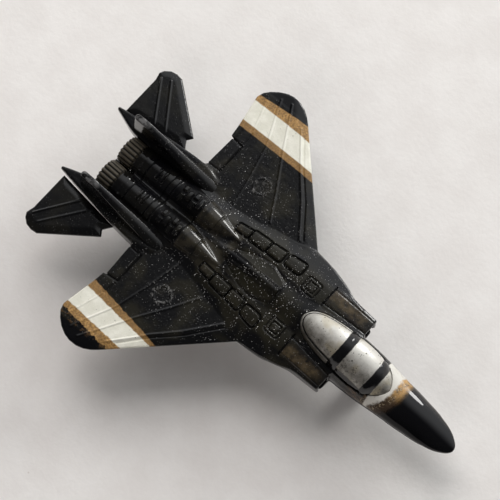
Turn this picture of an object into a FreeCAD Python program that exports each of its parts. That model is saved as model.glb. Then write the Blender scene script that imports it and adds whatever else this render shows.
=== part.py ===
"""Twin-tail jet fighter toy: a two-shell pocket model on rolling landing gear.

Millimetres.  +X runs to the nose, +Y to the pilot's left, +Z up.  The origin
is on the ground, under the middle of the model.  The wing datum is the height
of the wing's upper face; heights in the tables below are measured from the
parting plane between the two shells unless a comment says otherwise.
"""
import FreeCAD
import Part
import Sketcher
import math
import os

V = FreeCAD.Vector
SIDES = (("left", 1), ("right", -1))

doc = FreeCAD.newDocument("JetFighterToy")
sheet = doc.addObject("Spreadsheet::Sheet", "dims")

# ---------------------------------------------------------------- dimensions
DIMENSIONS = [
    ("model_length", 90.0),
    ("datum_height", 12.5),       # upper face of the wing above the ground
    ("parting_height", 8.3),      # plane between the upper and lower shell
    ("wing_thick", 1.3),
    ("body_rear", -33.5),
    ("intake_front", 19.3),
    ("intake_depth", 9.0),
    ("seat_gap", 0.03),           # glued or pressed faces
    ("running_gap", 0.06),        # wheel bore over axle, on radius
    ("engine_offset", 3.0),       # engine axis from the centre plane
    ("engine_height", 11.6),
    ("engine_radius", 2.95),
    ("engine_rear", -34.8),
    ("nozzle_rear", -38.4),
    ("nozzle_radius", 2.88),
    ("nozzle_bore", 1.9),
    ("flute_radius", 0.3),
    ("flute_length", 3.1),
    ("spigot_radius", 1.9),
    ("spigot_length", 2.5),
    ("fin_offset", 7.4),
    ("fin_top", 19.6),
    ("fin_tab_thick", 1.0),
    ("fin_tab_depth", 1.8),
    ("fin_seat_depth", 1.0),      # how deep the fin's foot sits in the boom
    ("boom_top", 12.9),
    ("tail_thick", 1.2),
    ("tail_height", 10.4),        # underside of the stabiliser
    ("tail_tab_thick", 1.0),
    ("tail_tab_inner", 8.6),
    ("canopy_floor", 11.4),
    ("nose_leg_station", 24.0),
    ("nose_wheel_radius", 2.1),
    ("nose_wheel_width", 1.4),
    ("nose_axle_radius", 0.4),
    ("nose_strut_radius", 0.7),
    ("fork_thick", 0.55),
    ("bridge_thick", 0.5),        # web that joins the two cheeks of the fork
    ("main_leg_station", -13.0),
    ("main_leg_offset", 4.9),
    ("main_wheel_radius", 2.5),
    ("main_wheel_width", 1.5),
    ("main_axle_radius", 0.45),
    ("main_strut_radius", 0.75),
    ("main_boss_half", 0.9),       # half length of the boss round the pin
    ("axle_head_radius", 0.85),
    ("axle_head_thick", 0.35),
    ("side_gap", 0.1),            # wheel face to leg face
    ("screw_radius", 0.8),
    ("screw_length", 4.6),
    ("screw_head_radius", 1.5),
    ("screw_head_thick", 0.8),
    ("boss_radius", 1.9),
    ("socket_wall", 0.8),
    ("nose_strut_top", 7.4),
    ("main_strut_top", 7.9),
    ("fork_top", 4.8),
    ("cavity_rise", 2.2),
    ("cavity_drop", 1.6),
    ("panel_top", 0.95),
    ("line_top", 0.5),
]
for row, (alias, value) in enumerate(DIMENSIONS, start=1):
    sheet.set("A%d" % row, alias)
    sheet.set("B%d" % row, str(value))
    sheet.setAlias("B%d" % row, alias)
doc.recompute()


def dim(alias):
    """Value of a driving dimension."""
    return float(getattr(sheet, alias))


PARTING = dim("parting_height")
DATUM = dim("datum_height")
SEAT = dim("seat_gap")
NOSE_X = dim("model_length") / 2

# Forward fuselage: station, half width, straight side, crown above the
# parting plane, keel below it.
FUSELAGE = [
    (NOSE_X, 0.55, 0.10, 0.50, 0.50),
    (44.3, 1.35, 0.10, 1.20, 1.15),
    (43.0, 2.10, 0.12, 1.80, 1.75),
    (41.0, 2.85, 0.20, 2.40, 2.25),
    (38.0, 3.50, 0.30, 2.90, 2.75),
    (34.0, 4.00, 0.45, 3.30, 3.15),
    (30.0, 4.30, 0.90, 3.65, 3.35),
    (26.0, 4.62, 2.20, 4.50, 3.45),
    (20.0, 4.95, 3.00, 5.30, 3.40),
    (14.0, 5.00, 3.00, 5.70, 3.30),
    (7.0, 4.80, 2.60, 6.20, 3.20),
    (-2.0, 3.90, 2.60, 6.40, 3.00),
    (-12.0, 1.20, 2.60, 5.20, 2.60),
]

# Centre body over the engines: station, half width at the parting plane, half
# width at the shoulder, shoulder height, deck height, belly depth.
CENTRE = [
    (dim("intake_front"), 8.30, 8.35, 3.70, 4.20, 2.60),
    (13.3, 8.50, 8.65, 4.10, 4.75, 2.90),
    (9.8, 8.60, 9.00, 4.40, 5.10, 3.00),
    (2.5, 8.70, 9.40, 4.40, 5.30, 3.00),
    (-8.0, 8.70, 9.40, 4.40, 5.00, 2.80),
    (-25.0, 8.40, 9.20, 4.10, 4.60, 2.20),
    (dim("body_rear"), 5.90, 6.20, 3.60, 4.10, 0.90),
]

# Canopy: station, half width, straight side and crown above the canopy floor.
CANOPY = [
    (8.5, 0.60, 2.40, 2.80),
    (9.3, 1.90, 2.40, 3.40),
    (11.0, 2.85, 2.40, 4.30),
    (14.0, 3.55, 2.30, 5.10),
    (17.5, 3.92, 2.20, 5.50),
    (21.0, 4.10, 1.80, 5.15),
    (25.4, 3.75, 1.10, 3.90),
    (27.5, 2.90, 0.70, 2.50),
    (29.4, 1.00, 0.50, 0.90),
]

# Tail booms: station, inner and outer side, underside and top above the ground.
BOOM = [
    (-22.0, 4.60, 9.80, 8.90, 12.80),
    (-33.4, 5.15, 9.75, 9.30, 12.90),
    (-34.7, 5.95, 9.60, 9.40, 12.90),
    (-38.5, 6.00, 9.05, 9.70, 12.90),
    (-45.0, 7.60, 8.25, 10.90, 12.40),
]

# Wing outline from the intake side out to the tip and back to the boom.
GLOVE = [(13.4, 8.0), (13.3, 8.7), (11.7, 9.6), (9.9, 10.15), (7.4, 10.75), (4.9, 11.1), (2.6, 11.35)]
WING_TIP = [
    (-15.2, 29.1), (-16.4, 30.2), (-17.6, 30.95), (-18.9, 31.3), (-20.3, 31.4),
    (-21.8, 31.1), (-23.4, 30.4), (-24.9, 29.3), (-25.9, 28.2), (-26.3, 26.9),
]
TRAILING = [(-25.2, 20.6), (-24.8, 17.7), (-24.7, 9.6), (-24.0, 8.0)]

# Fin plan at its root and at its tip, measured from the fin's centre line.
FIN_ROOT = [(-20.6, -1.4), (-20.6, 1.4), (-40.1, 1.05), (-40.1, -1.05)]
FIN_TIP = [(-35.9, -0.62), (-35.9, 0.62), (-39.0, 0.62), (-39.0, -0.62)]
FIN_TAB = (-37.0, -24.5)
SEAT_SPREAD = 1.02        # the fin's seat is this much wider than its foot
TAIL_OUTLINE = [
    (-30.1, 10.12), (-30.5, 10.9), (-31.0, 11.8), (-30.0, 12.95), (-39.2, 20.5), (-41.3, 20.65),
    (-42.8, 20.3), (-43.8, 19.4), (-44.2, 18.4), (-43.8, 8.52),
]
TAIL_TAB = (-37.5, -32.0)

# Raised panels on the deck beside the engines, and the square boss on each
# intake: front and rear station, inner and outer side.
DECK_PANELS = [
    (-11.6, -9.0, 4.6, 6.25), (-8.6, -4.95, 4.6, 6.6), (-4.5, -1.5, 4.95, 6.95), (-0.5, 2.9, 5.35, 7.45),
    (4.9, 7.5, 3.85, 6.35),
]
# Raised lines on each wing: two long diagonals, one along the leading edge
# and the flap and aileron edges.
WING_LINES = [
    [(-15.1, 9.6), (-16.8, 14.4), (-18.3, 20.4)],
    [(-8.0, 10.2), (-11.0, 14.9), (-14.4, 20.2)],
    [(-2.6, 12.0), (-7.7, 18.2), (-10.2, 20.4)],
    [(-21.8, 11.1), (-21.8, 16.6)],
    [(-22.0, 17.8), (-22.0, 20.4)],
]
LINE_WIDTH = 0.35
SHOULDER_CHAMFER = 0.8
ENGINE_TIP = -9.2
ENGINE_BREAK = -14.6
FLUTES = 20
FLUTE_DEPTH = 0.2
BELLY_INSET = 0.1
BELLY_SIDE = 0.4          # straight side below the parting plane, as a share of that above it
BELLY_END = -10.0         # the fuselage's own keel stops here

FORK_HALF = 0.75          # half of the nose fork's length along x

# Hollow between the shells, one side: station and half width.
CAVITY = [(33.0, 2.0), (26.0, 3.0), (18.0, 3.4), (9.4, 3.4), (9.0, 7.0), (-22.0, 7.0), (-27.0, 4.5)]
DUCT = (5.3, 7.7)
DUCT_RISE = 3.4
DUCT_DROP = 1.7

# Screws: station and height of the face under the head.
SCREWS = [(14.0, 6.0), (-24.0, 6.9)]
SLOT_REACH = 0.8
SLOT_WIDTH = 0.35
SLOT_DEPTH = 0.4


# ------------------------------------------------------------------- helpers
def new_body(name):
    """An empty named body."""
    body = doc.addObject("PartDesign::Body", name)
    body.Label = name
    return body


def origin_plane(body, role):
    """One of the body's own base planes."""
    return next(item for item in body.Origin.OriginFeatures if item.Role == role)


def new_sketch(body, name, role, offset=0.0, offset_expr=None):
    """An empty sketch on a base plane, moved along the plane's normal."""
    sketch = body.newObject("Sketcher::SketchObject", name)
    sketch.AttachmentSupport = (origin_plane(body, role), [""])
    sketch.MapMode = "FlatFace"
    sketch.AttachmentOffset = FreeCAD.Placement(V(0, 0, offset), FreeCAD.Rotation())
    if offset_expr:
        sketch.setExpression("AttachmentOffset.Base.z", offset_expr)
    return sketch


def add_polygon(sketch, points):
    """A closed run of straight lines."""
    for start, end in zip(points, points[1:] + points[:1]):
        sketch.addGeometry(Part.LineSegment(V(start[0], start[1], 0), V(end[0], end[1], 0)), False)


def add_curve(sketch, points):
    """A smooth curve through the points."""
    curve = Part.BSplineCurve()
    curve.interpolate([V(a, b, 0) for a, b in points])
    sketch.addGeometry(curve, False)


def add_circle(sketch, centre, radius_expr):
    """A circle whose radius follows the dimension sheet."""
    index = sketch.addGeometry(Part.Circle(V(centre[0], centre[1], 0), V(0, 0, 1), 1.0), False)
    constraint = sketch.addConstraint(Sketcher.Constraint("Radius", index, 1.0))
    sketch.setExpression("Constraints[%d]" % constraint, radius_expr)
    return index


def pad(body, sketch, name, length_expr, reverse=False):
    """Raise a sketch by a length from the sheet."""
    feature = body.newObject("PartDesign::Pad", name)
    feature.Profile = sketch
    feature.setExpression("Length", length_expr)
    feature.Reversed = reverse
    doc.recompute()
    return feature


def pocket(body, sketch, name, length_expr, reverse=False):
    """Sink a sketch by a length from the sheet; it has to remove material."""
    before = body.Shape.Volume
    feature = body.newObject("PartDesign::Pocket", name)
    feature.Profile = sketch
    feature.setExpression("Length", length_expr)
    feature.Reversed = reverse
    doc.recompute()
    if body.Shape.Volume > before - 1e-4:
        raise RuntimeError("%s removes nothing" % name)
    return feature


def loft(body, name, sketches, subtract=False):
    """Blend through a row of closed sketches."""
    kind = "PartDesign::SubtractiveLoft" if subtract else "PartDesign::AdditiveLoft"
    feature = body.newObject(kind, name)
    feature.Profile = (sketches[0], [""])
    feature.Sections = [(item, [""]) for item in sketches[1:]]
    feature.Ruled = True
    doc.recompute()
    return feature


def arch(sketch, base, half_width, side, crown, direction):
    """D-shaped section: flat base, short upright sides, arched top or bottom."""
    low = V(half_width, base, 0)
    high = V(half_width, base + direction * side, 0)
    apex = V(0, base + direction * crown, 0)
    far_high = V(-high.x, high.y, 0)
    far_low = V(-low.x, low.y, 0)
    sketch.addGeometry(Part.LineSegment(far_low, low), False)
    sketch.addGeometry(Part.LineSegment(low, high), False)
    sketch.addGeometry(Part.Arc(high, apex, far_high), False)
    sketch.addGeometry(Part.LineSegment(far_high, far_low), False)


def slopes(places, values):
    """Slope at each place that keeps a fair curve from overshooting."""
    steps = [(b - a) / (q - p) for a, b, p, q in zip(values, values[1:], places, places[1:])]
    inner = [2 * a * b / (a + b) if a * b > 0 else 0.0 for a, b in zip(steps, steps[1:])]
    return [steps[0]] + inner + [steps[-1]]


def faired(rows, parts=2):
    """More rows between the given ones, on smooth curves through them."""
    columns = list(zip(*rows))
    places = columns[0]
    tangents = [slopes(places, column) for column in columns]
    result = [tuple(rows[0])]
    for index in range(len(rows) - 1):
        span = places[index + 1] - places[index]
        for part in range(1, parts + 1):
            t = part / parts
            row = []
            for column, tangent in zip(columns, tangents):
                row.append((2 * t ** 3 - 3 * t ** 2 + 1) * column[index]
                           + (t ** 3 - 2 * t ** 2 + t) * span * tangent[index]
                           + (3 * t ** 2 - 2 * t ** 3) * column[index + 1]
                           + (t ** 3 - t ** 2) * span * tangent[index + 1])
            result.append(tuple(row))
    return result


def arch_row(body, name, rows, base, direction):
    """Sketches for a row of (station, half width, side, crown)."""
    sketches = []
    rows = faired(rows)
    for number, (station, half_width, side, crown) in enumerate(rows):
        sketch = new_sketch(body, "%s_%d" % (name, number), "YZ_Plane", station)
        arch(sketch, base, half_width, side, crown, direction)
        sketches.append(sketch)
    return sketches


def mirrored(points, side):
    """Plan points taken to one side of the centre plane."""
    return [(a, side * b) for a, b in points]


def turned(body, name, profile, along, centre, height, height_expr=None, subtract=False):
    """Turn (axial, radial) points about a level line along x or y."""
    sketch = new_sketch(body, name + "_profile", "XY_Plane", height, height_expr)
    reach = [axial for axial, radial in profile]
    if along == "x":
        points = [(axial, centre + radial) for axial, radial in profile]
        ends = (V(min(reach), centre, 0), V(max(reach), centre, 0))
    else:
        points = [(centre + radial, axial) for axial, radial in profile]
        ends = (V(centre, min(reach), 0), V(centre, max(reach), 0))
    sketch.addGeometry(Part.LineSegment(*ends), True)
    add_polygon(sketch, points)
    kind = "PartDesign::Groove" if subtract else "PartDesign::Revolution"
    feature = body.newObject(kind, name)
    feature.Profile = sketch
    feature.ReferenceAxis = (sketch, ["Axis0"])
    feature.Angle = 360.0
    doc.recompute()
    return feature


def rectangle(x_low, x_high, y_low, y_high):
    """Corner points of an upright rectangle."""
    return [(x_low, y_low), (x_high, y_low), (x_high, y_high), (x_low, y_high)]


def strip(points, width):
    """Outline of a narrow raised line that follows the points."""
    half = width / 2
    one_side = [(a - half, b) for a, b in points]
    other_side = [(a + half, b) for a, b in reversed(points)]
    return one_side + other_side


# --------------------------------------------------------------- the shells
def add_upper_form(body):
    """Outside of the cast upper shell: fuselage, deck, engines, wings, booms."""
    rows = [(x, half, side, crown) for x, half, side, crown, keel in FUSELAGE]
    loft(body, "fuselage_top", arch_row(body, "fuselage_section", rows, PARTING, 1))

    sections = []
    for number, (x, low, high, shoulder, deck, belly) in enumerate(CENTRE):
        sketch = new_sketch(body, "centre_section_%d" % number, "YZ_Plane", x)
        edge = high - SHOULDER_CHAMFER
        add_polygon(sketch, [
            (-low, PARTING), (low, PARTING), (high, PARTING + shoulder), (edge, PARTING + deck),
            (-edge, PARTING + deck), (-high, PARTING + shoulder),
        ])
        sections.append(sketch)
    loft(body, "centre_top", sections)

    for word, side in SIDES:
        plan = new_sketch(body, word + "_wing_plan", "XY_Plane", DATUM - dim("wing_thick"),
                          "dims.datum_height - dims.wing_thick")
        front = mirrored(GLOVE, side)
        tip = mirrored(WING_TIP, side)
        back = mirrored(TRAILING, side)
        for start, end in zip(front, front[1:] + tip[:1]):
            plan.addGeometry(Part.LineSegment(V(start[0], start[1], 0), V(end[0], end[1], 0)), False)
        add_curve(plan, tip)
        for start, end in zip(tip[-1:] + back, back + front[:1]):
            plan.addGeometry(Part.LineSegment(V(start[0], start[1], 0), V(end[0], end[1], 0)), False)
        pad(body, plan, word + "_wing", "dims.wing_thick")

        booms = []
        for number, (x, inner, outer, low, high) in enumerate(BOOM):
            sketch = new_sketch(body, "%s_boom_section_%d" % (word, number), "YZ_Plane", x)
            add_polygon(sketch, [(side * inner, low), (side * outer, low), (side * outer, high),
                                 (side * inner, high)])
            booms.append(sketch)
        loft(body, word + "_boom", booms)

        radius = dim("engine_radius")
        rear = dim("engine_rear")
        turned(body, word + "_engine", [
            (ENGINE_TIP, 0.0), (ENGINE_BREAK, radius - 0.3), (ENGINE_BREAK - 0.3, radius - 0.3),
            (ENGINE_BREAK - 0.3, radius), (rear, radius), (rear, 0.0),
        ], "x", side * dim("engine_offset"), dim("engine_height"), "dims.engine_height")


def add_raised_detail(body):
    """Panels on the deck and raised lines on the wings."""
    panels = new_sketch(body, "deck_panel_plan", "XY_Plane", DATUM + 0.4, "dims.datum_height + 0.4")
    for word, side in SIDES:
        for x_low, x_high, y_low, y_high in DECK_PANELS:
            add_polygon(panels, mirrored(rectangle(x_low, x_high, y_low, y_high), side))
    pad(body, panels, "deck_panels", "dims.panel_top")
    lines = new_sketch(body, "wing_line_plan", "XY_Plane", DATUM - 0.3, "dims.datum_height - 0.3")
    for word, side in SIDES:
        for run in WING_LINES:
            add_polygon(lines, mirrored(strip(run, LINE_WIDTH), side))
    pad(body, lines, "wing_lines", "dims.line_top")


def cut_upper_seats(body):
    """Recesses that take the canopy, fins, stabilisers, nozzles and screws."""
    floor = dim("canopy_floor")
    rows = [(x, half + SEAT, side, crown + 2.0) for x, half, side, crown in CANOPY]
    rows[0] = (rows[0][0] - SEAT,) + rows[0][1:]
    rows[-1] = (rows[-1][0] + SEAT,) + rows[-1][1:]
    loft(body, "canopy_recess", arch_row(body, "canopy_recess_section", rows, floor, 1), subtract=True)

    cavity = new_sketch(body, "cavity_plan", "XY_Plane", PARTING, "dims.parting_height")
    add_polygon(cavity, CAVITY + [(x, -y) for x, y in reversed(CAVITY)])
    pocket(body, cavity, "cavity", "dims.cavity_rise", reverse=True)
    bosses = new_sketch(body, "boss_plan", "XY_Plane", PARTING, "dims.parting_height")
    for station, seat in SCREWS:
        add_circle(bosses, (station, 0), "dims.boss_radius")
    pad(body, bosses, "bosses", "dims.cavity_rise + 0.2")
    for number, (station, seat) in enumerate(SCREWS):
        hole = new_sketch(body, "screw_hole_plan_%d" % number, "XY_Plane", PARTING, "dims.parting_height")
        add_circle(hole, (station, 0), "dims.screw_radius + dims.seat_gap")
        pocket(body, hole, "screw_hole_%d" % number,
               "dims.screw_length + %.2f - dims.parting_height + 0.1" % seat, reverse=True)

    for word, side in SIDES:
        duct = new_sketch(body, word + "_duct_plan", "YZ_Plane", dim("intake_front"), "dims.intake_front")
        add_polygon(duct, mirrored_section(DUCT, side, PARTING - 0.5, PARTING + DUCT_RISE))
        pocket(body, duct, word + "_duct", "dims.intake_depth")

        bore = new_sketch(body, word + "_bore_plan", "YZ_Plane", dim("engine_rear"), "dims.engine_rear")
        add_circle(bore, (side * dim("engine_offset"), dim("engine_height")),
                   "dims.spigot_radius + dims.seat_gap")
        pocket(body, bore, word + "_bore", "dims.spigot_length + 0.1", reverse=True)

        fin_line = side * dim("fin_offset")
        seat = new_sketch(body, word + "_fin_seat_plan", "XY_Plane", dim("boom_top") + dim("fin_seat_depth"),
                          "dims.boom_top + dims.fin_seat_depth")
        add_polygon(seat, [(x + SEAT, fin_line + y * SEAT_SPREAD) for x, y in FIN_ROOT])
        pocket(body, seat, word + "_fin_seat", "dims.fin_seat_depth")
        slot = new_sketch(body, word + "_fin_slot_plan", "XY_Plane", dim("boom_top") + 0.05,
                          "dims.boom_top + 0.05")
        half = dim("fin_tab_thick") / 2 + SEAT
        add_polygon(slot, rectangle(FIN_TAB[0] - SEAT, FIN_TAB[1] + SEAT, fin_line - half, fin_line + half))
        pocket(body, slot, word + "_fin_slot", "dims.fin_tab_depth + 0.1")

        low = dim("tail_height") + (dim("tail_thick") - dim("tail_tab_thick")) / 2
        slot = new_sketch(body, word + "_tail_slot_plan", "XY_Plane", low - SEAT)
        add_polygon(slot, mirrored(rectangle(TAIL_TAB[0] - SEAT, TAIL_TAB[1] + SEAT,
                                             dim("tail_tab_inner") - SEAT, 10.6), side))
        pocket(body, slot, word + "_tail_slot", "dims.tail_tab_thick + 2 * dims.seat_gap", reverse=True)


def mirrored_section(span, side, low, high):
    """Upright rectangle between two side distances."""
    return [(side * span[0], low), (side * span[1], low), (side * span[1], high), (side * span[0], high)]


def build_upper_shell():
    """The cast half: top of the fuselage, wings, booms and engine humps."""
    body = new_body("upper_shell")
    add_upper_form(body)
    add_raised_detail(body)
    cut_upper_seats(body)


def build_lower_shell():
    """The moulded belly pan with the leg sockets and the screw tubes."""
    body = new_body("lower_shell")
    rows = [(x, half - BELLY_INSET, BELLY_SIDE * side, keel)
            for x, half, side, crown, keel in FUSELAGE if x > BELLY_END]
    loft(body, "fuselage_bottom", arch_row(body, "keel_section", rows, PARTING, -1))
    sections = []
    for number, (x, low, high, shoulder, deck, belly) in enumerate(CENTRE):
        sketch = new_sketch(body, "belly_section_%d" % number, "YZ_Plane", x)
        wide = low - BELLY_INSET
        knee, foot = wide - 0.5, wide - 1.8
        add_polygon(sketch, [
            (-wide, PARTING), (wide, PARTING), (knee, PARTING - 0.6 * belly), (foot, PARTING - belly),
            (-foot, PARTING - belly), (-knee, PARTING - 0.6 * belly),
        ])
        sections.append(sketch)
    loft(body, "belly", sections)

    cavity = new_sketch(body, "cavity_plan", "XY_Plane", PARTING, "dims.parting_height")
    add_polygon(cavity, CAVITY + [(x, -y) for x, y in reversed(CAVITY)])
    pocket(body, cavity, "cavity", "dims.cavity_drop")
    for word, side in SIDES:
        duct = new_sketch(body, word + "_duct_plan", "YZ_Plane", dim("intake_front"), "dims.intake_front")
        add_polygon(duct, mirrored_section(DUCT, side, PARTING - DUCT_DROP, PARTING + 0.5))
        pocket(body, duct, word + "_duct", "dims.intake_depth")

    posts = new_sketch(body, "post_plan", "XY_Plane", PARTING, "dims.parting_height")
    for station, seat in SCREWS:
        add_circle(posts, (station, 0), "dims.boss_radius")
    add_circle(posts, (dim("nose_leg_station"), 0), "dims.nose_strut_radius + dims.socket_wall")
    for word, side in SIDES:
        centre = (dim("main_leg_station"), side * dim("main_leg_offset"))
        add_circle(posts, centre, "dims.main_strut_radius + dims.socket_wall")
    pad(body, posts, "posts", "dims.cavity_drop + 0.2", reverse=True)

    for number, (station, seat) in enumerate(SCREWS):
        hole = new_sketch(body, "screw_way_plan_%d" % number, "XY_Plane", PARTING, "dims.parting_height")
        add_circle(hole, (station, 0), "dims.screw_radius + dims.seat_gap")
        pocket(body, hole, "screw_way_%d" % number, "dims.parting_height")
        recess = new_sketch(body, "screw_recess_plan_%d" % number, "XY_Plane", seat)
        add_circle(recess, (station, 0), "dims.screw_head_radius + dims.seat_gap")
        pocket(body, recess, "screw_recess_%d" % number, "dims.parting_height")

    socket = new_sketch(body, "nose_socket_plan", "XY_Plane", dim("nose_strut_top"), "dims.nose_strut_top")
    add_circle(socket, (dim("nose_leg_station"), 0), "dims.nose_strut_radius + dims.seat_gap")
    pocket(body, socket, "nose_socket", "dims.parting_height")
    sockets = new_sketch(body, "main_socket_plan", "XY_Plane", dim("main_strut_top"), "dims.main_strut_top")
    for word, side in SIDES:
        centre = (dim("main_leg_station"), side * dim("main_leg_offset"))
        add_circle(sockets, centre, "dims.main_strut_radius + dims.seat_gap")
    pocket(body, sockets, "main_sockets", "dims.parting_height")


# ------------------------------------------------------- parts on the shells
def build_canopy():
    """Blind canopy plug that fills its recess in the upper shell."""
    body = new_body("canopy")
    loft(body, "canopy_form", arch_row(body, "canopy_section", CANOPY, dim("canopy_floor"), 1))


def build_fin(word, side):
    """Upright fin with a root tab."""
    body = new_body(word + "_fin")
    centre = side * dim("fin_offset")
    root = new_sketch(body, "fin_root_plan", "XY_Plane", dim("boom_top"), "dims.boom_top")
    add_polygon(root, [(x, centre + y) for x, y in FIN_ROOT])
    tip = new_sketch(body, "fin_tip_plan", "XY_Plane", dim("fin_top"), "dims.fin_top")
    add_polygon(tip, [(x, centre + y) for x, y in FIN_TIP])
    loft(body, "fin_blade", [root, tip])
    half = dim("fin_tab_thick") / 2
    tab = new_sketch(body, "fin_tab_outline", "XZ_Plane", -side * dim("fin_offset") - half)
    top = dim("boom_top")
    add_polygon(tab, rectangle(FIN_TAB[0], FIN_TAB[1], top - dim("fin_tab_depth"), top + 0.5))
    pad(body, tab, "fin_tab", "dims.fin_tab_thick")


def build_stabiliser(word, side):
    """Flat stabiliser with a root tab."""
    body = new_body(word + "_stabiliser")
    plan = new_sketch(body, "tail_outline", "XY_Plane", dim("tail_height"), "dims.tail_height")
    add_polygon(plan, mirrored(TAIL_OUTLINE, side))
    pad(body, plan, "tail_blade", "dims.tail_thick")
    low = dim("tail_height") + (dim("tail_thick") - dim("tail_tab_thick")) / 2
    tab = new_sketch(body, "tail_tab_outline", "XY_Plane", low,
                     "dims.tail_height + (dims.tail_thick - dims.tail_tab_thick) / 2")
    add_polygon(tab, mirrored(rectangle(TAIL_TAB[0], TAIL_TAB[1], dim("tail_tab_inner"), 10.4), side))
    pad(body, tab, "tail_tab", "dims.tail_tab_thick")


def build_nozzle(word, side):
    """Fluted jet nozzle with a spigot at the front."""
    body = new_body(word + "_nozzle")
    front = dim("engine_rear")
    rear = dim("nozzle_rear")
    outer = dim("nozzle_radius")
    bore = dim("nozzle_bore")
    centre = (side * dim("engine_offset"), dim("engine_height"))
    turned(body, "nozzle_form", [
        (front + dim("spigot_length"), 0.0), (front + dim("spigot_length"), dim("spigot_radius")),
        (front, dim("spigot_radius")), (front, outer - 0.25), (front - 0.35, outer),
        (rear + 0.5, outer - 0.05), (rear, outer - 0.4), (rear, bore),
        (front - 0.6, bore), (front - 0.6, 0.0),
    ], "x", centre[0], centre[1], "dims.engine_height")
    flutes = new_sketch(body, "flute_plan", "YZ_Plane", rear, "dims.nozzle_rear")
    for number in range(FLUTES):
        angle = 2 * math.pi * number / FLUTES
        reach = outer + dim("flute_radius") - FLUTE_DEPTH
        spot = (centre[0] + reach * math.cos(angle), centre[1] + reach * math.sin(angle))
        add_circle(flutes, spot, "dims.flute_radius")
    pocket(body, flutes, "flutes", "dims.flute_length", reverse=True)


# --------------------------------------------------------------- running gear
def wheel_profile(centre, width, radius, bore):
    """Tyre and hub section: (position along the axle, radius)."""
    half = width / 2
    hub = 0.55 * radius
    return [
        (centre - half, bore), (centre - half, hub - 0.25), (centre - half + 0.2, hub),
        (centre - half, hub + 0.2), (centre - half, radius - 0.35), (centre - half + 0.3, radius),
        (centre + half - 0.3, radius), (centre + half, radius - 0.35), (centre + half, hub + 0.2),
        (centre + half - 0.2, hub), (centre + half, hub - 0.25), (centre + half, bore),
    ]


def build_nose_gear():
    """Forked nose leg, its pin and its wheel."""
    x = dim("nose_leg_station")
    radius = dim("nose_wheel_radius")
    pin = dim("nose_axle_radius")
    gap = dim("side_gap")
    inner = dim("nose_wheel_width") / 2 + gap
    top = dim("fork_top")
    leg = new_body("nose_leg")
    strut = new_sketch(leg, "strut_plan", "XY_Plane", top - 0.4, "dims.fork_top - 0.4")
    add_circle(strut, (x, 0), "dims.nose_strut_radius")
    pad(leg, strut, "strut", "dims.nose_strut_top - dims.fork_top + 0.4")
    bridge = new_sketch(leg, "bridge_plan", "XY_Plane", top - dim("bridge_thick"),
                        "dims.fork_top - dims.bridge_thick")
    wide = inner + dim("fork_thick")
    add_polygon(bridge, rectangle(x - FORK_HALF, x + FORK_HALF, -wide, wide))
    pad(leg, bridge, "bridge", "dims.bridge_thick")
    for word, offset in (("left", -wide), ("right", inner)):
        cheek = new_sketch(leg, word + "_cheek_outline", "XZ_Plane", offset)
        rear, front = x - FORK_HALF, x + FORK_HALF
        foot = Part.Arc(V(rear, radius, 0), V(x, radius - FORK_HALF, 0), V(front, radius, 0))
        cheek.addGeometry(Part.LineSegment(V(rear, top, 0), V(rear, radius, 0)), False)
        cheek.addGeometry(foot, False)
        cheek.addGeometry(Part.LineSegment(V(front, radius, 0), V(front, top, 0)), False)
        cheek.addGeometry(Part.LineSegment(V(front, top, 0), V(rear, top, 0)), False)
        pad(leg, cheek, word + "_cheek", "dims.fork_thick")
    through = wide + 1
    turned(leg, "pin_hole", [(-through, 0.0), (through, 0.0), (through, pin + SEAT), (-through, pin + SEAT)],
           "y", x, radius, "dims.nose_wheel_radius", subtract=True)

    axle = new_body("nose_axle")
    head = dim("axle_head_thick")
    turned(axle, "pin", [
        (-wide - head, 0.0), (-wide - head, pin + 0.25), (-wide, pin + 0.25), (-wide, pin),
        (wide, pin), (wide, pin + 0.25), (wide + head, pin + 0.25), (wide + head, 0.0),
    ], "y", x, radius, "dims.nose_wheel_radius")

    wheel = new_body("nose_wheel")
    turned(wheel, "wheel_form", wheel_profile(0.0, dim("nose_wheel_width"), radius, pin + dim("running_gap")),
           "y", x, radius, "dims.nose_wheel_radius")


def build_main_gear(word, side):
    """Main leg, its headed pin and its wheel, outboard of the leg."""
    x = dim("main_leg_station")
    radius = dim("main_wheel_radius")
    pin = dim("main_axle_radius")
    centre = side * dim("main_leg_offset")
    face = dim("main_leg_offset") + dim("main_boss_half")
    leg = new_body(word + "_main_leg")
    back = dim("main_leg_offset") - dim("main_boss_half")
    turned(leg, "axle_boss", [(side * back, 0.0), (side * back, 1.0), (side * face, 1.0), (side * face, 0.0)],
           "y", x, radius, "dims.main_wheel_radius")
    strut = new_sketch(leg, "strut_plan", "XY_Plane", radius + 0.6, "dims.main_wheel_radius + 0.6")
    add_circle(strut, (x, centre), "dims.main_strut_radius")
    pad(leg, strut, "strut", "dims.main_strut_top - dims.main_wheel_radius - 0.6")
    turned(leg, "pin_hole", [(side * (back - 1), 0.0), (side * (back - 1), pin + SEAT),
                             (side * (face + 1), pin + SEAT), (side * (face + 1), 0.0)],
           "y", x, radius, "dims.main_wheel_radius", subtract=True)

    inner = face + dim("side_gap")
    outer = inner + dim("main_wheel_width")
    stop = outer + dim("side_gap")
    end = stop + dim("axle_head_thick")
    axle = new_body(word + "_main_axle")
    turned(axle, "pin", [(side * back, 0.0), (side * back, pin), (side * stop, pin),
                         (side * stop, dim("axle_head_radius")), (side * end, dim("axle_head_radius")),
                         (side * end, 0.0)], "y", x, radius, "dims.main_wheel_radius")

    wheel = new_body(word + "_main_wheel")
    turned(wheel, "wheel_form", wheel_profile(side * (inner + outer) / 2, dim("main_wheel_width"), radius,
                                              pin + dim("running_gap")),
           "y", x, radius, "dims.main_wheel_radius")


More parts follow.
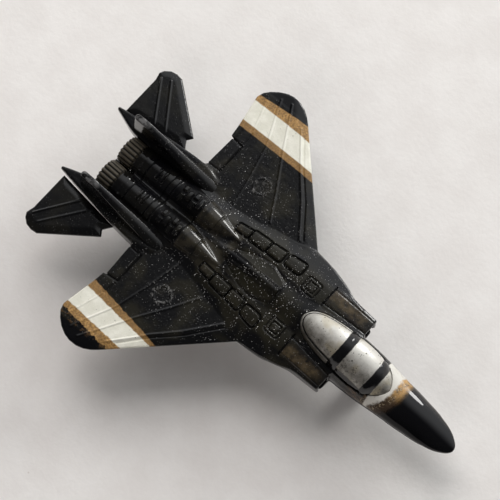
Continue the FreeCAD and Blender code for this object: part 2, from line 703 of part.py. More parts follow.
def build_screws():
    """Two identical pan-head screws, driven up from the belly."""
    group = []
    for number, (station, seat) in enumerate(SCREWS):
        shank = doc.addObject("Part::Cylinder", "screw_shank_%d" % number)
        shank.setExpression("Radius", "dims.screw_radius")
        shank.setExpression("Height", "dims.screw_length")
        shank.Placement = FreeCAD.Placement(V(station, 0, seat), FreeCAD.Rotation())
        head = doc.addObject("Part::Cylinder", "screw_head_%d" % number)
        head.setExpression("Radius", "dims.screw_head_radius")
        head.setExpression("Height", "dims.screw_head_thick")
        head.Placement = FreeCAD.Placement(V(station, 0, seat - dim("screw_head_thick")), FreeCAD.Rotation())
        solid = doc.addObject("Part::Fuse", "screw_blank_%d" % number)
        solid.Base = shank
        solid.Tool = head
        group.append(solid)
        for angle in (0, 90):
            slot = doc.addObject("Part::Box", "screw_slot_%d_%d" % (number, angle))
            slot.Length = 2 * SLOT_REACH
            slot.Width = SLOT_WIDTH
            slot.Height = SLOT_DEPTH
            turn = FreeCAD.Rotation(V(0, 0, 1), angle)
            corner = turn.multVec(V(-SLOT_REACH, -SLOT_WIDTH / 2, 0))
            base = V(station, 0, seat - dim("screw_head_thick")) + corner
            slot.Placement = FreeCAD.Placement(base, turn)
            cut = doc.addObject("Part::Cut", "screw_cut_%d_%d" % (number, angle))
            cut.Base = group[-1]
            cut.Tool = slot
            group[-1] = cut
    doc.recompute()
    screws = doc.addObject("Part::Compound", "body_screws")
    screws.Label = "body_screws"
    screws.Links = group
    doc.recompute()


def write_parts(names):
    """Check every object, then write one file for each node."""
    doc.recompute()
    for item in doc.Objects:
        if "Invalid" in item.State or "Error" in item.State:
            raise RuntimeError("%s is %s" % (item.Name, item.State))
    os.makedirs("parts", exist_ok=True)
    for name in names:
        shape = doc.getObject(name).Shape
        if shape.isNull() or not shape.isValid():
            raise RuntimeError("%s has no valid shape" % name)
        shape.exportStep("parts/%s.step" % name)
        box = shape.BoundBox
        size = (box.XMin, box.XMax, box.YMin, box.YMax, box.ZMin, box.ZMax)
        print("%-18s solids %d  volume %8.2f" % (name, len(shape.Solids), shape.Volume),
              "  x %.2f..%.2f  y %.2f..%.2f  z %.2f..%.2f" % size)


build_upper_shell()
build_lower_shell()
build_canopy()
for side_word, side_sign in SIDES:
    build_fin(side_word, side_sign)
    build_stabiliser(side_word, side_sign)
    build_nozzle(side_word, side_sign)
    build_main_gear(side_word, side_sign)
build_nose_gear()
build_screws()
nodes = [item.Name for item in doc.Objects if item.TypeId == "PartDesign::Body"] + ["body_screws"]
write_parts(nodes)
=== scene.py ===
"""Toy jet fighter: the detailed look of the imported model.

The CAD model is the frame.  The wheels, pins, legs and screws are its own
solids with new materials.  The shells, canopy, fins, stabilisers and nozzles
are rebuilt here as finely detailed castings.  Each is a signed distance field
on a fine grid, turned into a mesh.  Tables and grids are in millimetres, with
+X to the nose, +Y to the pilot's left and z = 0 on the ground.
"""
import math

import bpy
import numpy as np
import openvdb
from mathutils import Matrix, Vector


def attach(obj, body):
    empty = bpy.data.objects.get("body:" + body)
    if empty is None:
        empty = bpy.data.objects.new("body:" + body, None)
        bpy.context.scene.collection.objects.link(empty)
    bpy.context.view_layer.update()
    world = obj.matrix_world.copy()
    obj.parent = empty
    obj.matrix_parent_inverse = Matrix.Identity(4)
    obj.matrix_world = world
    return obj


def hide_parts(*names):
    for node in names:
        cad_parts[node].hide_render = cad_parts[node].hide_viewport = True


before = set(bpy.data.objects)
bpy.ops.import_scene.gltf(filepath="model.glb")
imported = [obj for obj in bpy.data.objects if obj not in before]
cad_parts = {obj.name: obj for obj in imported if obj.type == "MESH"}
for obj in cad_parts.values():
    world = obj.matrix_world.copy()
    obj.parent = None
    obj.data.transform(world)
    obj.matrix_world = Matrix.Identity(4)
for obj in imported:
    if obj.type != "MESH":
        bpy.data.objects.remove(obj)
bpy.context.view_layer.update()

MM = 0.001
FACE_LIMIT = 190000      # triangles in one piece
FIELD_LIMIT = 3.0        # a field is cut off this far from the surface
NORMAL_REACH = 0.6       # grid steps to each side when a normal is measured

PARTING = 8.3            # plane between the two shells
DATUM = 12.5             # upper face of the wing
BODY_FRONT = 19.3        # ends of the box-shaped body between the wings
BODY_AFT = -33.5
ENGINE_Y = 3.0           # middle of each engine and nozzle
NOZZLE_Z = 11.6
NOZZLE_AFT = -38.4
PETALS = 18              # round each nozzle
FIN_Y = 7.4
FIN_TOP = 19.55
RING_X = -13.7           # plain ring on each wing
RING_Y = 13.9
RING_RADIUS = 1.65
REAR_FRAME = 18.9        # middle of each black bar across the canopy
FRONT_FRAME = 26.4
FRAME_SWEEP = 0.028      # how fast the bars curve aft towards the sides


# ---- curve helpers
def fair(table, places):
    """Values of a (place, value) table on a smooth curve that doesn't overshoot."""
    xs = np.array([row[0] for row in table], float)
    ys = np.array([row[1] for row in table], float)
    if xs[0] > xs[-1]:
        xs, ys = xs[::-1], ys[::-1]
    steps = np.diff(ys) / np.diff(xs)
    slopes = np.empty_like(xs)
    slopes[0], slopes[-1] = steps[0], steps[-1]
    product = steps[:-1] * steps[1:]
    total = steps[:-1] + steps[1:]
    safe = np.where(product > 0, total, 1.0)
    slopes[1:-1] = np.where(product > 0, 2 * product / safe, 0.0)
    places = np.clip(places, xs[0], xs[-1])
    index = np.clip(np.searchsorted(xs, places) - 1, 0, len(xs) - 2)
    span = xs[index + 1] - xs[index]
    t = (places - xs[index]) / span
    return ((2 * t ** 3 - 3 * t ** 2 + 1) * ys[index] + (t ** 3 - 2 * t ** 2 + t) * span * slopes[index]
            + (3 * t ** 2 - 2 * t ** 3) * ys[index + 1] + (t ** 3 - t ** 2) * span * slopes[index + 1])


def step(low, high, value):
    """Smooth step from 0 at low to 1 at high."""
    t = np.clip((value - low) / (high - low), 0, 1)
    return t * t * (3 - 2 * t)


def blend(a, b, radius):
    """Union of two fields with a fillet."""
    h = np.clip(0.5 + 0.5 * (b - a) / radius, 0, 1)
    return b + (a - b) * h - radius * h * (1 - h)


def meet(a, b, radius):
    """Intersection of two fields with a rounded edge."""
    return -blend(-a, -b, radius)


# ---- plan shapes
def segment(start, end, x, y):
    """Squared distance in plan to the line between two points."""
    (ax, ay), (bx, by) = start, end
    ex, ey = bx - ax, by - ay
    t = np.clip(((x - ax) * ex + (y - ay) * ey) / (ex * ex + ey * ey), 0, 1)
    return (x - ax - t * ex) ** 2 + (y - ay - t * ey) ** 2


def path(points, x, y):
    """Distance to an open run of lines in plan."""
    best = np.full(np.broadcast(x, y).shape, 1e9)
    for start, end in zip(points, points[1:]):
        best = np.minimum(best, segment(start, end, x, y))
    return np.sqrt(best)


def polygon(points, x, y):
    """Signed distance to a closed polygon in plan, negative inside."""
    inside = np.zeros(np.broadcast(x, y).shape, bool)
    for (ax, ay), (bx, by) in zip(points, points[1:] + points[:1]):
        if ay != by:
            inside ^= ((ay > y) != (by > y)) & (x < ax + (y - ay) * (bx - ax) / (by - ay))
    return np.where(inside, -1.0, 1.0) * path(points + points[:1], x, y)


def bump(distance, width):
    """Rounded profile: 1 on the line, 0 from the given distance outwards."""
    return 0.5 + 0.5 * np.cos(np.pi * np.clip(np.abs(distance) / width, 0, 1))


def rectangle(x_low, x_high, y_low, y_high, x, y, corner):
    """Signed distance to a rectangle with round corners, whose sides may be arrays."""
    qx = np.abs(x - (x_low + x_high) / 2) - (x_high - x_low) / 2 + corner
    qy = np.abs(y - (y_low + y_high) / 2) - (y_high - y_low) / 2 + corner
    return np.hypot(np.maximum(qx, 0), np.maximum(qy, 0)) + np.minimum(np.maximum(qx, qy), 0) - corner


# ---- solid shapes
def section(u_half, v_half, u, v, power):
    """Near-distance to a rounded section with these half sizes."""
    a = np.abs(u) / u_half
    b = np.abs(v) / v_half
    g = np.maximum(a ** power + b ** power, 1e-6) ** (1 / power)
    du = (a / g) ** (power - 1) / u_half
    dv = (b / g) ** (power - 1) / v_half
    return (g - 1) / np.maximum(np.hypot(du, dv), 0.05)


def box_field(x_low, x_high, y_low, y_high, z_low, z_high, x, y, z):
    """Signed distance to an upright box."""
    dx = np.maximum(x_low - x, x - x_high)
    dy = np.maximum(y_low - y, y - y_high)
    dz = np.maximum(z_low - z, z - z_high)
    return np.maximum(np.maximum(dx, dy), dz)


class Grid:
    """Regular points over a box, on one side of the centre plane if mirrored."""

    def __init__(self, low, high, size, mirrored=False):
        self.size = size
        self.mirrored = mirrored
        counts = [int(math.ceil((b - a) / size)) + 1 for a, b in zip(low, high)]
        if mirrored:
            low = (low[0], 0.0, low[2])
            counts[1] = int(math.ceil(high[1] / size)) + 1
        self.low = low
        axes = [a + size * np.arange(n, dtype=np.float64) for a, n in zip(low, counts)]
        self.x = axes[0][:, None, None]
        self.y = axes[1][None, :, None]
        self.z = axes[2][None, None, :]

    def whole(self, field):
        """The field on both sides of the centre plane."""
        if self.mirrored:
            return np.concatenate([field[:, :0:-1], field], axis=1)
        return field

    def corner(self, field):
        """Place of the first point of the whole field."""
        if self.mirrored:
            return np.array([self.low[0], -self.size * (field.shape[1] - 1), self.low[2]])
        return np.array(self.low, float)


def sample(values, places):
    """Trilinear samples of a grid at places given in grid steps."""
    base = np.clip(np.floor(places).astype(int), 0, np.array(values.shape) - 2)
    part = places - base
    total = 0.0
    for i in (0, 1):
        for j in (0, 1):
            for k in (0, 1):
                weight = np.prod(np.abs(1 - np.array((i, j, k)) - part), axis=1)
                total = total + weight * values[base[:, 0] + i, base[:, 1] + j, base[:, 2] + k]
    return total


class Places:
    """Scattered points, for the functions that also take a grid."""

    def __init__(self, points):
        self.x, self.y, self.z = points[:, 0], np.abs(points[:, 1]), points[:, 2]


def cast(name, grid, field, material, nodes, slot, tops=None, corner=None):
    """Mesh a field into a smooth piece that rides on the airframe.

    tops gives the relief at each vertex, kept for the paint to read.
    corner puts the first point of the field somewhere other than on its grid.
    """
    if corner is None:
        corner = grid.corner(field)
    values = grid.whole(np.ascontiguousarray(np.broadcast_to(
        field, (grid.x.size, grid.y.size, grid.z.size)).astype(np.float32)))
    volume = openvdb.FloatGrid(FIELD_LIMIT)
    volume.copyFromArray(np.clip(values, -FIELD_LIMIT, FIELD_LIMIT))
    points, quads = volume.convertToQuads(0.0)
    mesh = bpy.data.meshes.new(name)
    mesh.vertices.add(len(points))
    mesh.vertices.foreach_set("co", ((points * grid.size + corner) * MM).astype(np.float32).ravel())
    mesh.loops.add(len(quads) * 4)
    mesh.loops.foreach_set("vertex_index", quads.astype(np.int32).ravel())
    mesh.polygons.add(len(quads))
    mesh.polygons.foreach_set("loop_start", np.arange(0, len(quads) * 4, 4, dtype=np.int32))
    mesh.update(calc_edges=True)
    mesh.validate()
    piece = bpy.data.objects.new(name, mesh)
    bpy.context.scene.collection.objects.link(piece)
    if len(quads) * 2 > FACE_LIMIT:
        thin = piece.modifiers.new("fewer_faces", "DECIMATE")
        thin.ratio = FACE_LIMIT / (len(quads) * 2)
        graph = bpy.context.evaluated_depsgraph_get()
        reduced = bpy.data.meshes.new_from_object(piece.evaluated_get(graph))
        piece.modifiers.clear()
        piece.data = reduced
        bpy.data.meshes.remove(mesh)
        mesh = reduced
        mesh.name = name
    mesh.polygons.foreach_set("use_smooth", np.ones(len(mesh.polygons), bool))
    places = np.empty(len(mesh.vertices) * 3, np.float32)
    mesh.vertices.foreach_get("co", places)
    steps = (places.reshape(-1, 3) / MM - corner) / grid.size
    normals = np.empty_like(steps)
    for axis in range(3):
        offset = np.zeros(3)
        offset[axis] = NORMAL_REACH
        normals[:, axis] = sample(values, steps + offset) - sample(values, steps - offset)
    normals /= np.maximum(np.linalg.norm(normals, axis=1, keepdims=True), 1e-9)
    mesh.normals_split_custom_set_from_vertices([tuple(n) for n in normals])
    if tops:
        spots = Places(places.reshape(-1, 3) / MM)
        layer = mesh.attributes.new("relief", "FLOAT", "POINT")
        layer.data.foreach_set("value", tops(spots).astype(np.float32))
    mesh.materials.append(material)
    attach(piece, "airframe")
    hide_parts(*nodes)


# ---- outlines
# Fuselage from the nose to the spine: station and half width, top, bottom,
# and squareness of its section (2 is an ellipse).
HALF_WIDTH = [
    (45.0, 0.02), (44.0, 1.5), (43.0, 2.1), (41.6, 2.7), (40.0, 3.1), (38.5, 3.45), (36.0, 3.75),
    (33.4, 4.05), (31.0, 4.2), (28.5, 4.4), (24.0, 4.8), (20.0, 4.95), (14.0, 5.0), (7.0, 4.6),
    (2.5, 4.3), (-2.0, 3.9), (-12.0, 1.6),
]
CROWN = [
    (45.0, 8.45), (44.5, 8.75), (43.5, 9.15), (42.0, 9.72), (40.0, 10.48), (38.5, 11.05), (37.5, 11.38),
    (36.5, 11.64), (35.5, 11.84), (34.0, 12.02), (32.0, 12.15), (30.0, 12.25), (28.0, 12.45), (26.0, 12.9),
    (23.0, 13.6), (19.0, 14.0), (14.0, 14.1), (9.0, 14.15), (5.0, 14.0), (2.0, 14.1), (-4.0, 14.1),
    (-12.0, 13.2),
]
KEEL = [
    (45.0, 8.0), (44.0, 6.95), (43.0, 6.5), (41.0, 6.0), (38.0, 5.55), (34.0, 5.2), (26.0, 4.9),
    (14.0, 5.0), (7.0, 5.1), (-2.0, 5.3), (-12.0, 5.7),
]
FULLNESS = [
    (45.0, 2.0), (40.0, 2.0), (33.0, 2.05), (30.0, 2.4), (27.0, 2.9), (22.0, 3.2), (14.0, 2.6), (5.0, 2.2),
    (2.0, 2.5), (-8.0, 2.4), (-12.0, 2.0),
]
# Box-shaped body: half width at the deck's edge and at the wing, top and bottom.
SHOULDER = [
    (19.3, 8.25), (17.0, 8.35), (13.3, 8.3), (9.8, 8.1), (6.0, 8.3), (2.5, 8.2), (-1.7, 7.6), (-4.9, 7.15),
    (-9.4, 6.7), (-12.8, 5.9), (-16.0, 5.6), (-24.0, 5.9), (-33.5, 5.8),
]
SIDE = [
    (19.3, 8.55), (17.0, 8.65), (13.3, 8.8), (9.8, 9.7), (6.5, 10.6), (2.5, 10.9), (-1.7, 9.6), (-3.6, 9.2),
    (-6.6, 8.6), (-9.2, 7.8), (-12.2, 7.3), (-15.4, 6.8), (-24.0, 6.8), (-33.5, 6.2),
]
DECK = [
    (19.3, 12.5), (14.0, 13.1), (9.8, 13.45), (2.5, 13.55), (-8.0, 13.4), (-16.0, 13.2), (-24.0, 13.1),
    (-33.5, 12.8),
]
BELLY = [(19.3, 5.9), (9.8, 5.4), (-8.0, 5.5), (-25.0, 6.1), (-33.5, 7.4)]
# Left wing in plan, from its root's front corner round the tip.
WING_PLAN = [
    (16.0, 8.0), (13.3, 8.72), (11.7, 9.6), (9.9, 10.15), (7.4, 10.75), (4.9, 11.1), (2.4, 11.4),
    (-11.2, 24.9), (-15.35, 29.05), (-16.6, 30.15), (-17.9, 30.95), (-19.3, 31.4), (-20.9, 31.5),
    (-22.3, 31.2), (-23.8, 30.5), (-25.2, 29.4), (-26.1, 28.3), (-26.5, 27.0), (-25.3, 20.6),
    (-24.95, 17.75), (-24.45, 17.5), (-24.75, 10.3), (-24.0, 5.0), (10.0, 4.0),
]
# Shelf under each fin: station and inner side, outer side, top and bottom.
BOOM_INNER = [(-20.0, 5.2), (-30.0, 5.4), (-38.5, 5.85), (-45.0, 7.65)]
BOOM_OUTER = [(-20.0, 9.0), (-25.0, 10.25), (-30.0, 9.95), (-38.5, 9.0), (-45.0, 8.2)]
BOOM_TOP = [(-20.0, 12.6), (-24.0, 12.85), (-38.5, 12.85), (-42.5, 12.75), (-45.0, 12.35)]
BOOM_BASE = [(-20.0, 9.0), (-30.0, 9.05), (-38.5, 9.7), (-45.0, 10.9)]
# Left half of the airbrake on the spine, in plan.
AIRBRAKE = [
    (2.5, 0.0), (2.45, 2.1), (0.9, 2.75), (-1.3, 3.5), (-4.3, 3.1), (-7.6, 1.8), (-10.2, 0.5), (-10.4, 0.0),
]
# Panels on the deck: rear, front, inner side, outer side at the rear and at
# the front, corner radius.
DECK_PANELS = [
    (-11.7, -9.0, 4.5, 5.7, 6.1, 0.20), (-8.6, -4.95, 4.55, 6.45, 6.75, 0.25),
    (-4.5, -1.5, 4.8, 6.7, 7.1, 0.25), (-0.5, 2.9, 5.2, 7.2, 7.7, 0.55),
]
# Raised lines on the wing: points, half width and height of each.
RIDGES = [
    ([(-15.2, 6.8), (-16.8, 14.4), (-18.4, 20.5), (-19.2, 22.3), (-21.8, 27.8), (-22.4, 29.4)], 0.30, 0.15),
    ([(-7.9, 9.6), (-11.0, 14.9), (-14.6, 20.5), (-15.6, 22.2), (-19.0, 28.0), (-20.2, 30.0)], 0.30, 0.15),
    ([(-1.5, 10.6), (-6.2, 16.6), (-10.5, 21.2), (-12.2, 23.3), (-15.7, 27.4)], 0.32, 0.19),
    ([(-22.2, 20.9), (-24.0, 26.3), (-24.5, 28.0)], 0.28, 0.10),
    ([(-22.15, 11.0), (-22.15, 17.0)], 0.26, 0.14),
    ([(-22.3, 18.0), (-22.4, 20.5)], 0.26, 0.12),
]
# Engraved lines: points, half width and depth of each.
CUTS = [
    ([(-21.75, 11.0), (-21.75, 17.4), (-25.2, 17.75)], 0.26, 0.22),
    ([(-24.9, 10.9), (-21.75, 11.0)], 0.22, 0.16),
    ([(-21.85, 17.9), (-21.95, 20.6)], 0.2, 0.12),
    ([(-0.9, 11.0), (-5.5, 16.9), (-9.8, 21.3), (-13.9, 26.2)], 0.26, 0.14),
    ([(9.8, 3.6), (9.8, 8.3)], 0.28, 0.26),
    ([(9.8, 7.75), (19.4, 7.8)], 0.2, 0.12),
    ([(9.6, 4.2), (19.4, 5.1)], 0.24, 0.14),
]
# Canopy: station and half width at its foot, and top.
CANOPY_HALF = [
    (8.55, 0.02), (8.8, 1.0), (9.5, 1.95), (10.6, 2.65), (12.0, 3.15), (14.0, 3.55), (16.5, 3.85),
    (19.3, 4.05), (22.0, 4.15), (24.5, 3.95), (26.5, 3.4), (28.0, 2.55), (29.0, 1.6), (29.4, 0.02),
]
CANOPY_TOP = [
    (8.55, 13.9), (9.3, 14.8), (11.0, 15.8), (13.5, 16.55), (17.0, 16.95), (20.0, 16.8), (23.0, 16.1),
    (25.4, 15.15), (27.5, 13.8), (29.4, 12.2),
]
# Stabiliser in plan, from its root's front corner round the tip.
TAIL_PLAN = [
    (-29.75, 10.0), (-30.4, 10.9), (-31.0, 11.8), (-30.2, 12.95), (-39.9, 20.45), (-41.3, 20.6),
    (-42.6, 20.35), (-43.7, 19.5), (-44.2, 18.6), (-43.8, 17.0), (-43.8, 8.6),
]
# Raised blocks on top of each engine: station, inner and outer side, half length, height.
BLOCKS = [
    (-19.5, 2.2, 4.5, 0.34, 0.42), (-20.7, 1.4, 2.8, 0.44, 0.60), (-20.8, 3.4, 4.8, 0.42, 0.50),
    (-22.1, 2.2, 4.1, 0.44, 0.66), (-23.4, 1.4, 2.7, 0.40, 0.46), (-23.5, 3.4, 4.6, 0.40, 0.54),
    (-28.1, 1.6, 3.9, 0.26, 0.60), (-29.35, 1.6, 3.7, 0.26, 0.60),
]
# Grooves round the engines: station, half width and depth.
ENGINE_GROOVES = [(-18.8, 0.22, 0.2), (-25.3, 0.22, 0.22), (-26.6, 0.22, 0.2), (-31.6, 0.26, 0.22)]
# Round holes in the belly for the screw heads, the nose leg and the main legs:
# place, radius, how far up they reach and the rounding of their edge.
BELLY_HOLES = [
    (14.0, 0.0, 1.6, 6.0, 0.1), (-24.0, 0.0, 1.6, 6.9, 0.1),
    (24.0, 0.0, 0.74, 7.4, 0.08), (-13.0, 4.9, 0.79, 7.9, 0.08),
]
# Stations of the seams across the belly.
BELLY_SEAMS = (-28.0, -6.0, 4.0)


# ---- the cast
def fuselage(grid, grow=0.0):
    """Rounded body from the nose to the spine, above and below the parting."""
    x, y, z = grid.x, grid.y, grid.z
    half = np.sqrt(fair([(a, b * b) for a, b in HALF_WIDTH], x)) + grow
    top = fair(CROWN, x) - PARTING
    base = PARTING - fair(KEEL, x)
    power = fair(FULLNESS, x)
    rise = np.minimum(0.12 * top, 0.5)
    up = section(half, top - rise + grow, y, np.maximum(z - PARTING - rise, 0), power)
    down = section(half, base - rise + grow, y, np.maximum(PARTING - rise - z, 0), power)
    body = np.where(z > PARTING, up, down)
    ends = np.maximum(x - HALF_WIDTH[0][0] - grow, HALF_WIDTH[-1][0] - x)
    return np.maximum(body, ends)


def centre_body(grid):
    """Box-shaped body between the wings, with sloping sides."""
    x, y, z = grid.x, grid.y, grid.z
    deck = fair(DECK, x) - 0.012 * np.maximum(y - 4.0, 0) ** 2
    shoulder, side = fair(SHOULDER, x), fair(SIDE, x)
    slope = (side - shoulder) / np.maximum(deck - DATUM + 0.15, 0.3)
    upper = (y - shoulder - (deck - z) * slope) / np.sqrt(1 + slope ** 2)
    lower = y - side + 0.03 * (DATUM - z)
    flank = np.maximum(upper, np.minimum(lower, upper + 30))
    belly = fair(BELLY, x)
    flank = meet(flank, (y - side + 2.2 + (belly - z) * 0.9) / 1.35, 0.6)
    body = meet(flank, np.maximum(z - deck, belly - z), 0.7)
    return meet(body, np.maximum(x - BODY_FRONT, BODY_AFT - x), 0.35)


def wing(grid):
    """Thin wing whose front edge, flaps and tip fall away a little."""
    x, y, z = grid.x, grid.y, grid.z
    plan = polygon(WING_PLAN, x, y)
    lead = (x + y - 13.9) / math.sqrt(2)
    fall = 0.42 * step(-2.6, 0.3, lead) * step(9.0, 11.5, y)
    fall = fall + 0.26 * step(-21.4, -25.2, x) * step(9.8, 11.5, y)
    top = DATUM - fall
    base = DATUM - 1.25 + 0.3 * step(-2.5, 0.0, plan)
    return meet(plan, np.maximum(z - top, base - z), 0.4)


def boom(grid):
    """Shelf that carries the fin and stabiliser and ends in a point."""
    x, y, z = grid.x, grid.y, grid.z
    inner, outer = fair(BOOM_INNER, x), fair(BOOM_OUTER, x)
    top, base = fair(BOOM_TOP, x), fair(BOOM_BASE, x)
    sides = np.maximum(inner - y, y - outer)
    body = meet(sides, np.maximum(z - top, base - z), 0.45)
    return meet(body, np.maximum(x + 20.5, -44.95 - x), 0.3)


def engine(grid):
    """Engine hump: a cone on the deck, a break line and a long barrel."""
    x, y, z = grid.x, grid.y, grid.z
    t = np.clip((-9.1 - x) / 5.6, 0.001, 1.0)
    top = 13.3 + 1.25 * t ** 0.85
    middle = 13.0 - 0.9 * t
    cone = section(0.2 + 1.95 * t, top - middle, y - ENGINE_Y, z - middle, 2.0)
    cone = meet(cone, np.maximum(x + 9.0, -14.55 - x), 0.12)
    neck = np.maximum(np.hypot(y - ENGINE_Y, z - 12.1) - 2.1, np.maximum(x + 14.4, -15.2 - x))
    radius = fair([(-14.8, 2.36), (-18.8, 2.84), (-22.0, 2.9), (-34.8, 2.93)], x)
    height = fair([(-14.8, 12.15), (-18.8, 12.15), (-24.0, 11.75), (-34.8, 11.6)], x)
    barrel = np.hypot(y - ENGINE_Y, z - height) - radius
    barrel = meet(barrel, np.maximum(x + 14.85, -34.75 - x), 0.25)
    return np.minimum(np.minimum(cone, neck), barrel)


def upper_relief(grid):
    """Height of the cast-in lines, panels and bosses on the upper faces."""
    x, y = grid.x, grid.y
    relief = np.zeros(np.broadcast(x, y).shape)
    for points, width, height in RIDGES:
        relief = relief + height * bump(path(points, x, y), width)
    for points, width, depth in CUTS:
        relief = relief - depth * bump(path(points, x, y), width)
    for rear, front, inner, outer_rear, outer_front, corner in DECK_PANELS:
        outer = outer_rear + (outer_front - outer_rear) * np.clip((x - rear) / (front - rear), 0, 1)
        inner = inner + 0.12 * np.clip((x - rear) / (front - rear), 0, 1)
        edge = rectangle(rear, front, inner, outer, x, y, corner)
        relief = relief + 0.30 * step(0.10, -0.10, edge) - 0.28 * bump(edge - 0.28, 0.26)
    frame_edge = rectangle(4.85, 7.55, 3.75, 6.4, x, y, 0.3)
    relief = relief + 0.14 * step(0.1, -0.08, frame_edge) - 0.18 * bump(frame_edge - 0.22, 0.2)
    relief = relief - 0.34 * bump(frame_edge + 0.44, 0.22)
    brake = polygon(AIRBRAKE + [(a, -b) for a, b in AIRBRAKE[-2:0:-1]], x, y)
    relief = relief + 0.26 * step(0.16, -0.16, brake) - 0.05 * bump(brake - 0.3, 0.28)
    spine = step(1.35, 0.15, y) * step(-11.5, -8.0, x) * step(2.5, 2.2, x)
    relief = relief + 0.85 * spine
    ring = np.abs(np.hypot(x - RING_X, y - RING_Y) - RING_RADIUS)
    relief = relief + 0.05 * bump(ring, 0.3)
    over_engine = step(-18.6, -19.0, x) * step(0.4, 0.8, y) * step(5.6, 5.1, y)
    relief = relief - 0.12 * over_engine * step(-25.2, -24.8, x)
    for place, near, far, half, height in BLOCKS:
        box = rectangle(place - half, place + half, near, far, x, y, 0.12)
        relief = relief + height * step(0.10, -0.10, box)
    for place, width, depth in ENGINE_GROOVES:
        relief = relief - depth * bump(x - place, width) * step(5.8, 5.2, y)
    relief = relief + 0.12 * bump(x + 33.2, 0.5) * step(5.8, 5.2, y)
    return relief


def canopy_outline(x, y):
    """Signed distance in plan to the foot of the canopy, negative inside."""
    return polygon(CANOPY_HALF + [(a, -b) for a, b in reversed(CANOPY_HALF)], x, y)


def canopy_field(grid, grow=0.0):
    """The whole canopy bubble, from its aft tip to the foot of the windscreen."""
    x, y, z = grid.x, grid.y, grid.z
    half = np.sqrt(fair([(a, b * b) for a, b in CANOPY_HALF], x)) + grow
    top = fair(CANOPY_TOP, x) + grow
    seat = fair([(8.55, 12.9), (16.0, 12.3), (22.0, 11.6), (29.4, 10.6)], x)
    body = section(half, top - seat, y, np.maximum(z - seat, 0), 2.25)
    ends = np.maximum(CANOPY_HALF[0][0] - grow - x, x - CANOPY_HALF[-1][0] - grow)
    return np.maximum(np.maximum(body, 11.0 - z), ends)


def intake(grid, outer, floor):
    """Mouth of the intake, cut into both shells."""
    return box_field(10.3, 19.6, 5.35, outer, floor, 11.6, grid.x, grid.y, grid.z)


def upper_shell():
    """The casting: nose, spine, deck, wings, booms and engine humps."""
    grid = Grid((-45.5, 0, 7.9), (45.5, 32.0, 15.9), 0.16, mirrored=True)
    x, y, z = grid.x, grid.y, grid.z
    body = blend(centre_body(grid), wing(grid), 0.6)
    body = blend(body, boom(grid), 0.5)
    body = blend(body, engine(grid), 0.35)
    body = blend(body, fuselage(grid), 0.5)
    between_nozzles = box_field(-39.0, -33.0, -0.6, 0.6, 8.9, 9.7, x, y, z)
    body = np.minimum(body, between_nozzles)
    above = step(DATUM - 1.2, DATUM - 0.6, z)
    body = body - upper_relief(grid) * above
    canopy_seat = canopy_field(grid) - 0.06
    body = meet(body, -canopy_seat, 0.10)
    body = meet(body, -intake(grid, 7.75, 6.6), 0.3)
    return grid, meet(body, PARTING + 0.03 - z, 0.3)


def lower_shell():
    """The belly pan, with its screw recesses and leg sockets."""
    grid = Grid((-34.2, 0, 4.3), (45.3, 11.4, 8.8), 0.17, mirrored=True)
    x, y, z = grid.x, grid.y, grid.z
    body = blend(centre_body(grid) + 0.12, fuselage(grid, -0.06), 0.5)
    seam = np.abs(path([(-30.0, 4.6), (-14.0, 5.2), (9.0, 5.2), (18.0, 4.6)], x, y))
    body = body + 0.14 * bump(seam, 0.25) * step(6.6, 6.0, z)
    for place in BELLY_SEAMS:
        body = body + 0.12 * bump(x - place, 0.22) * step(6.4, 5.9, z) * step(5.3, 5.0, y)
    body = meet(body, -intake(grid, 7.7, 7.35), 0.3)
    for hole_x, hole_y, radius, top, edge in BELLY_HOLES:
        hole = np.maximum(np.hypot(x - hole_x, y - hole_y) - radius, z - top)
        body = meet(body, -hole, edge)
    return grid, meet(body, z - PARTING + 0.03, 0.3)


def canopy():
    """Blind canopy with its frames, grooves and the thin rim round it."""
    grid = Grid((8.4, 0, 10.8), (29.9, 4.8, 17.3), 0.11, mirrored=True)
    body = canopy_field(grid, -0.02)
    return grid, np.maximum(body - canopy_relief(grid), 11.1 - grid.z)


def canopy_relief(grid):
    """Height of the round frame bars and depth of the groove inside the rim."""
    x, y = grid.x, grid.y
    arc = x + FRAME_SWEEP * y * y
    relief = 0.22 * bump(arc - REAR_FRAME, 1.1) + 0.22 * bump(arc - FRONT_FRAME, 1.05)
    for place in (REAR_FRAME - 1.05, REAR_FRAME + 1.05, FRONT_FRAME - 1.0, FRONT_FRAME + 1.0):
        relief = relief - 0.06 * bump(arc - place, 0.2)
    inset = -canopy_outline(x, y)
    aft = step(REAR_FRAME - 0.8, REAR_FRAME - 1.2, arc)
    return relief - 0.17 * bump(inset - 0.55, 0.24) * aft


def fin():
    """Tapered upright fin with a blunt round front, on its own grid."""
    grid = Grid((-40.8, -1.9, 12.4), (-20.0, 1.9, 19.9), 0.12)
    x, y, z = grid.x, grid.y, grid.z
    t = np.clip((z - 12.9) / 6.7, -0.1, 1.0)
    front = -20.6 - 15.3 * t
    rear = -40.1 + 1.1 * t
    thick_front = 1.38 - 0.78 * t
    thick_rear = 0.95 - 0.33 * t
    along = np.clip(x, rear + thick_rear, np.maximum(front - thick_front, rear + thick_rear + 0.01))
    share = (along - rear) / np.maximum(front - rear, 0.5)
    half = thick_rear + (thick_front - thick_rear) * np.clip(share, 0, 1)
    blade = np.hypot(x - along, y) - half
    slant = 0.45 + 0.55 * step(1.0, 0.0, (x - along) / half)
    blade = blade * slant
    return grid, meet(blade, z - FIN_TOP, 0.35)


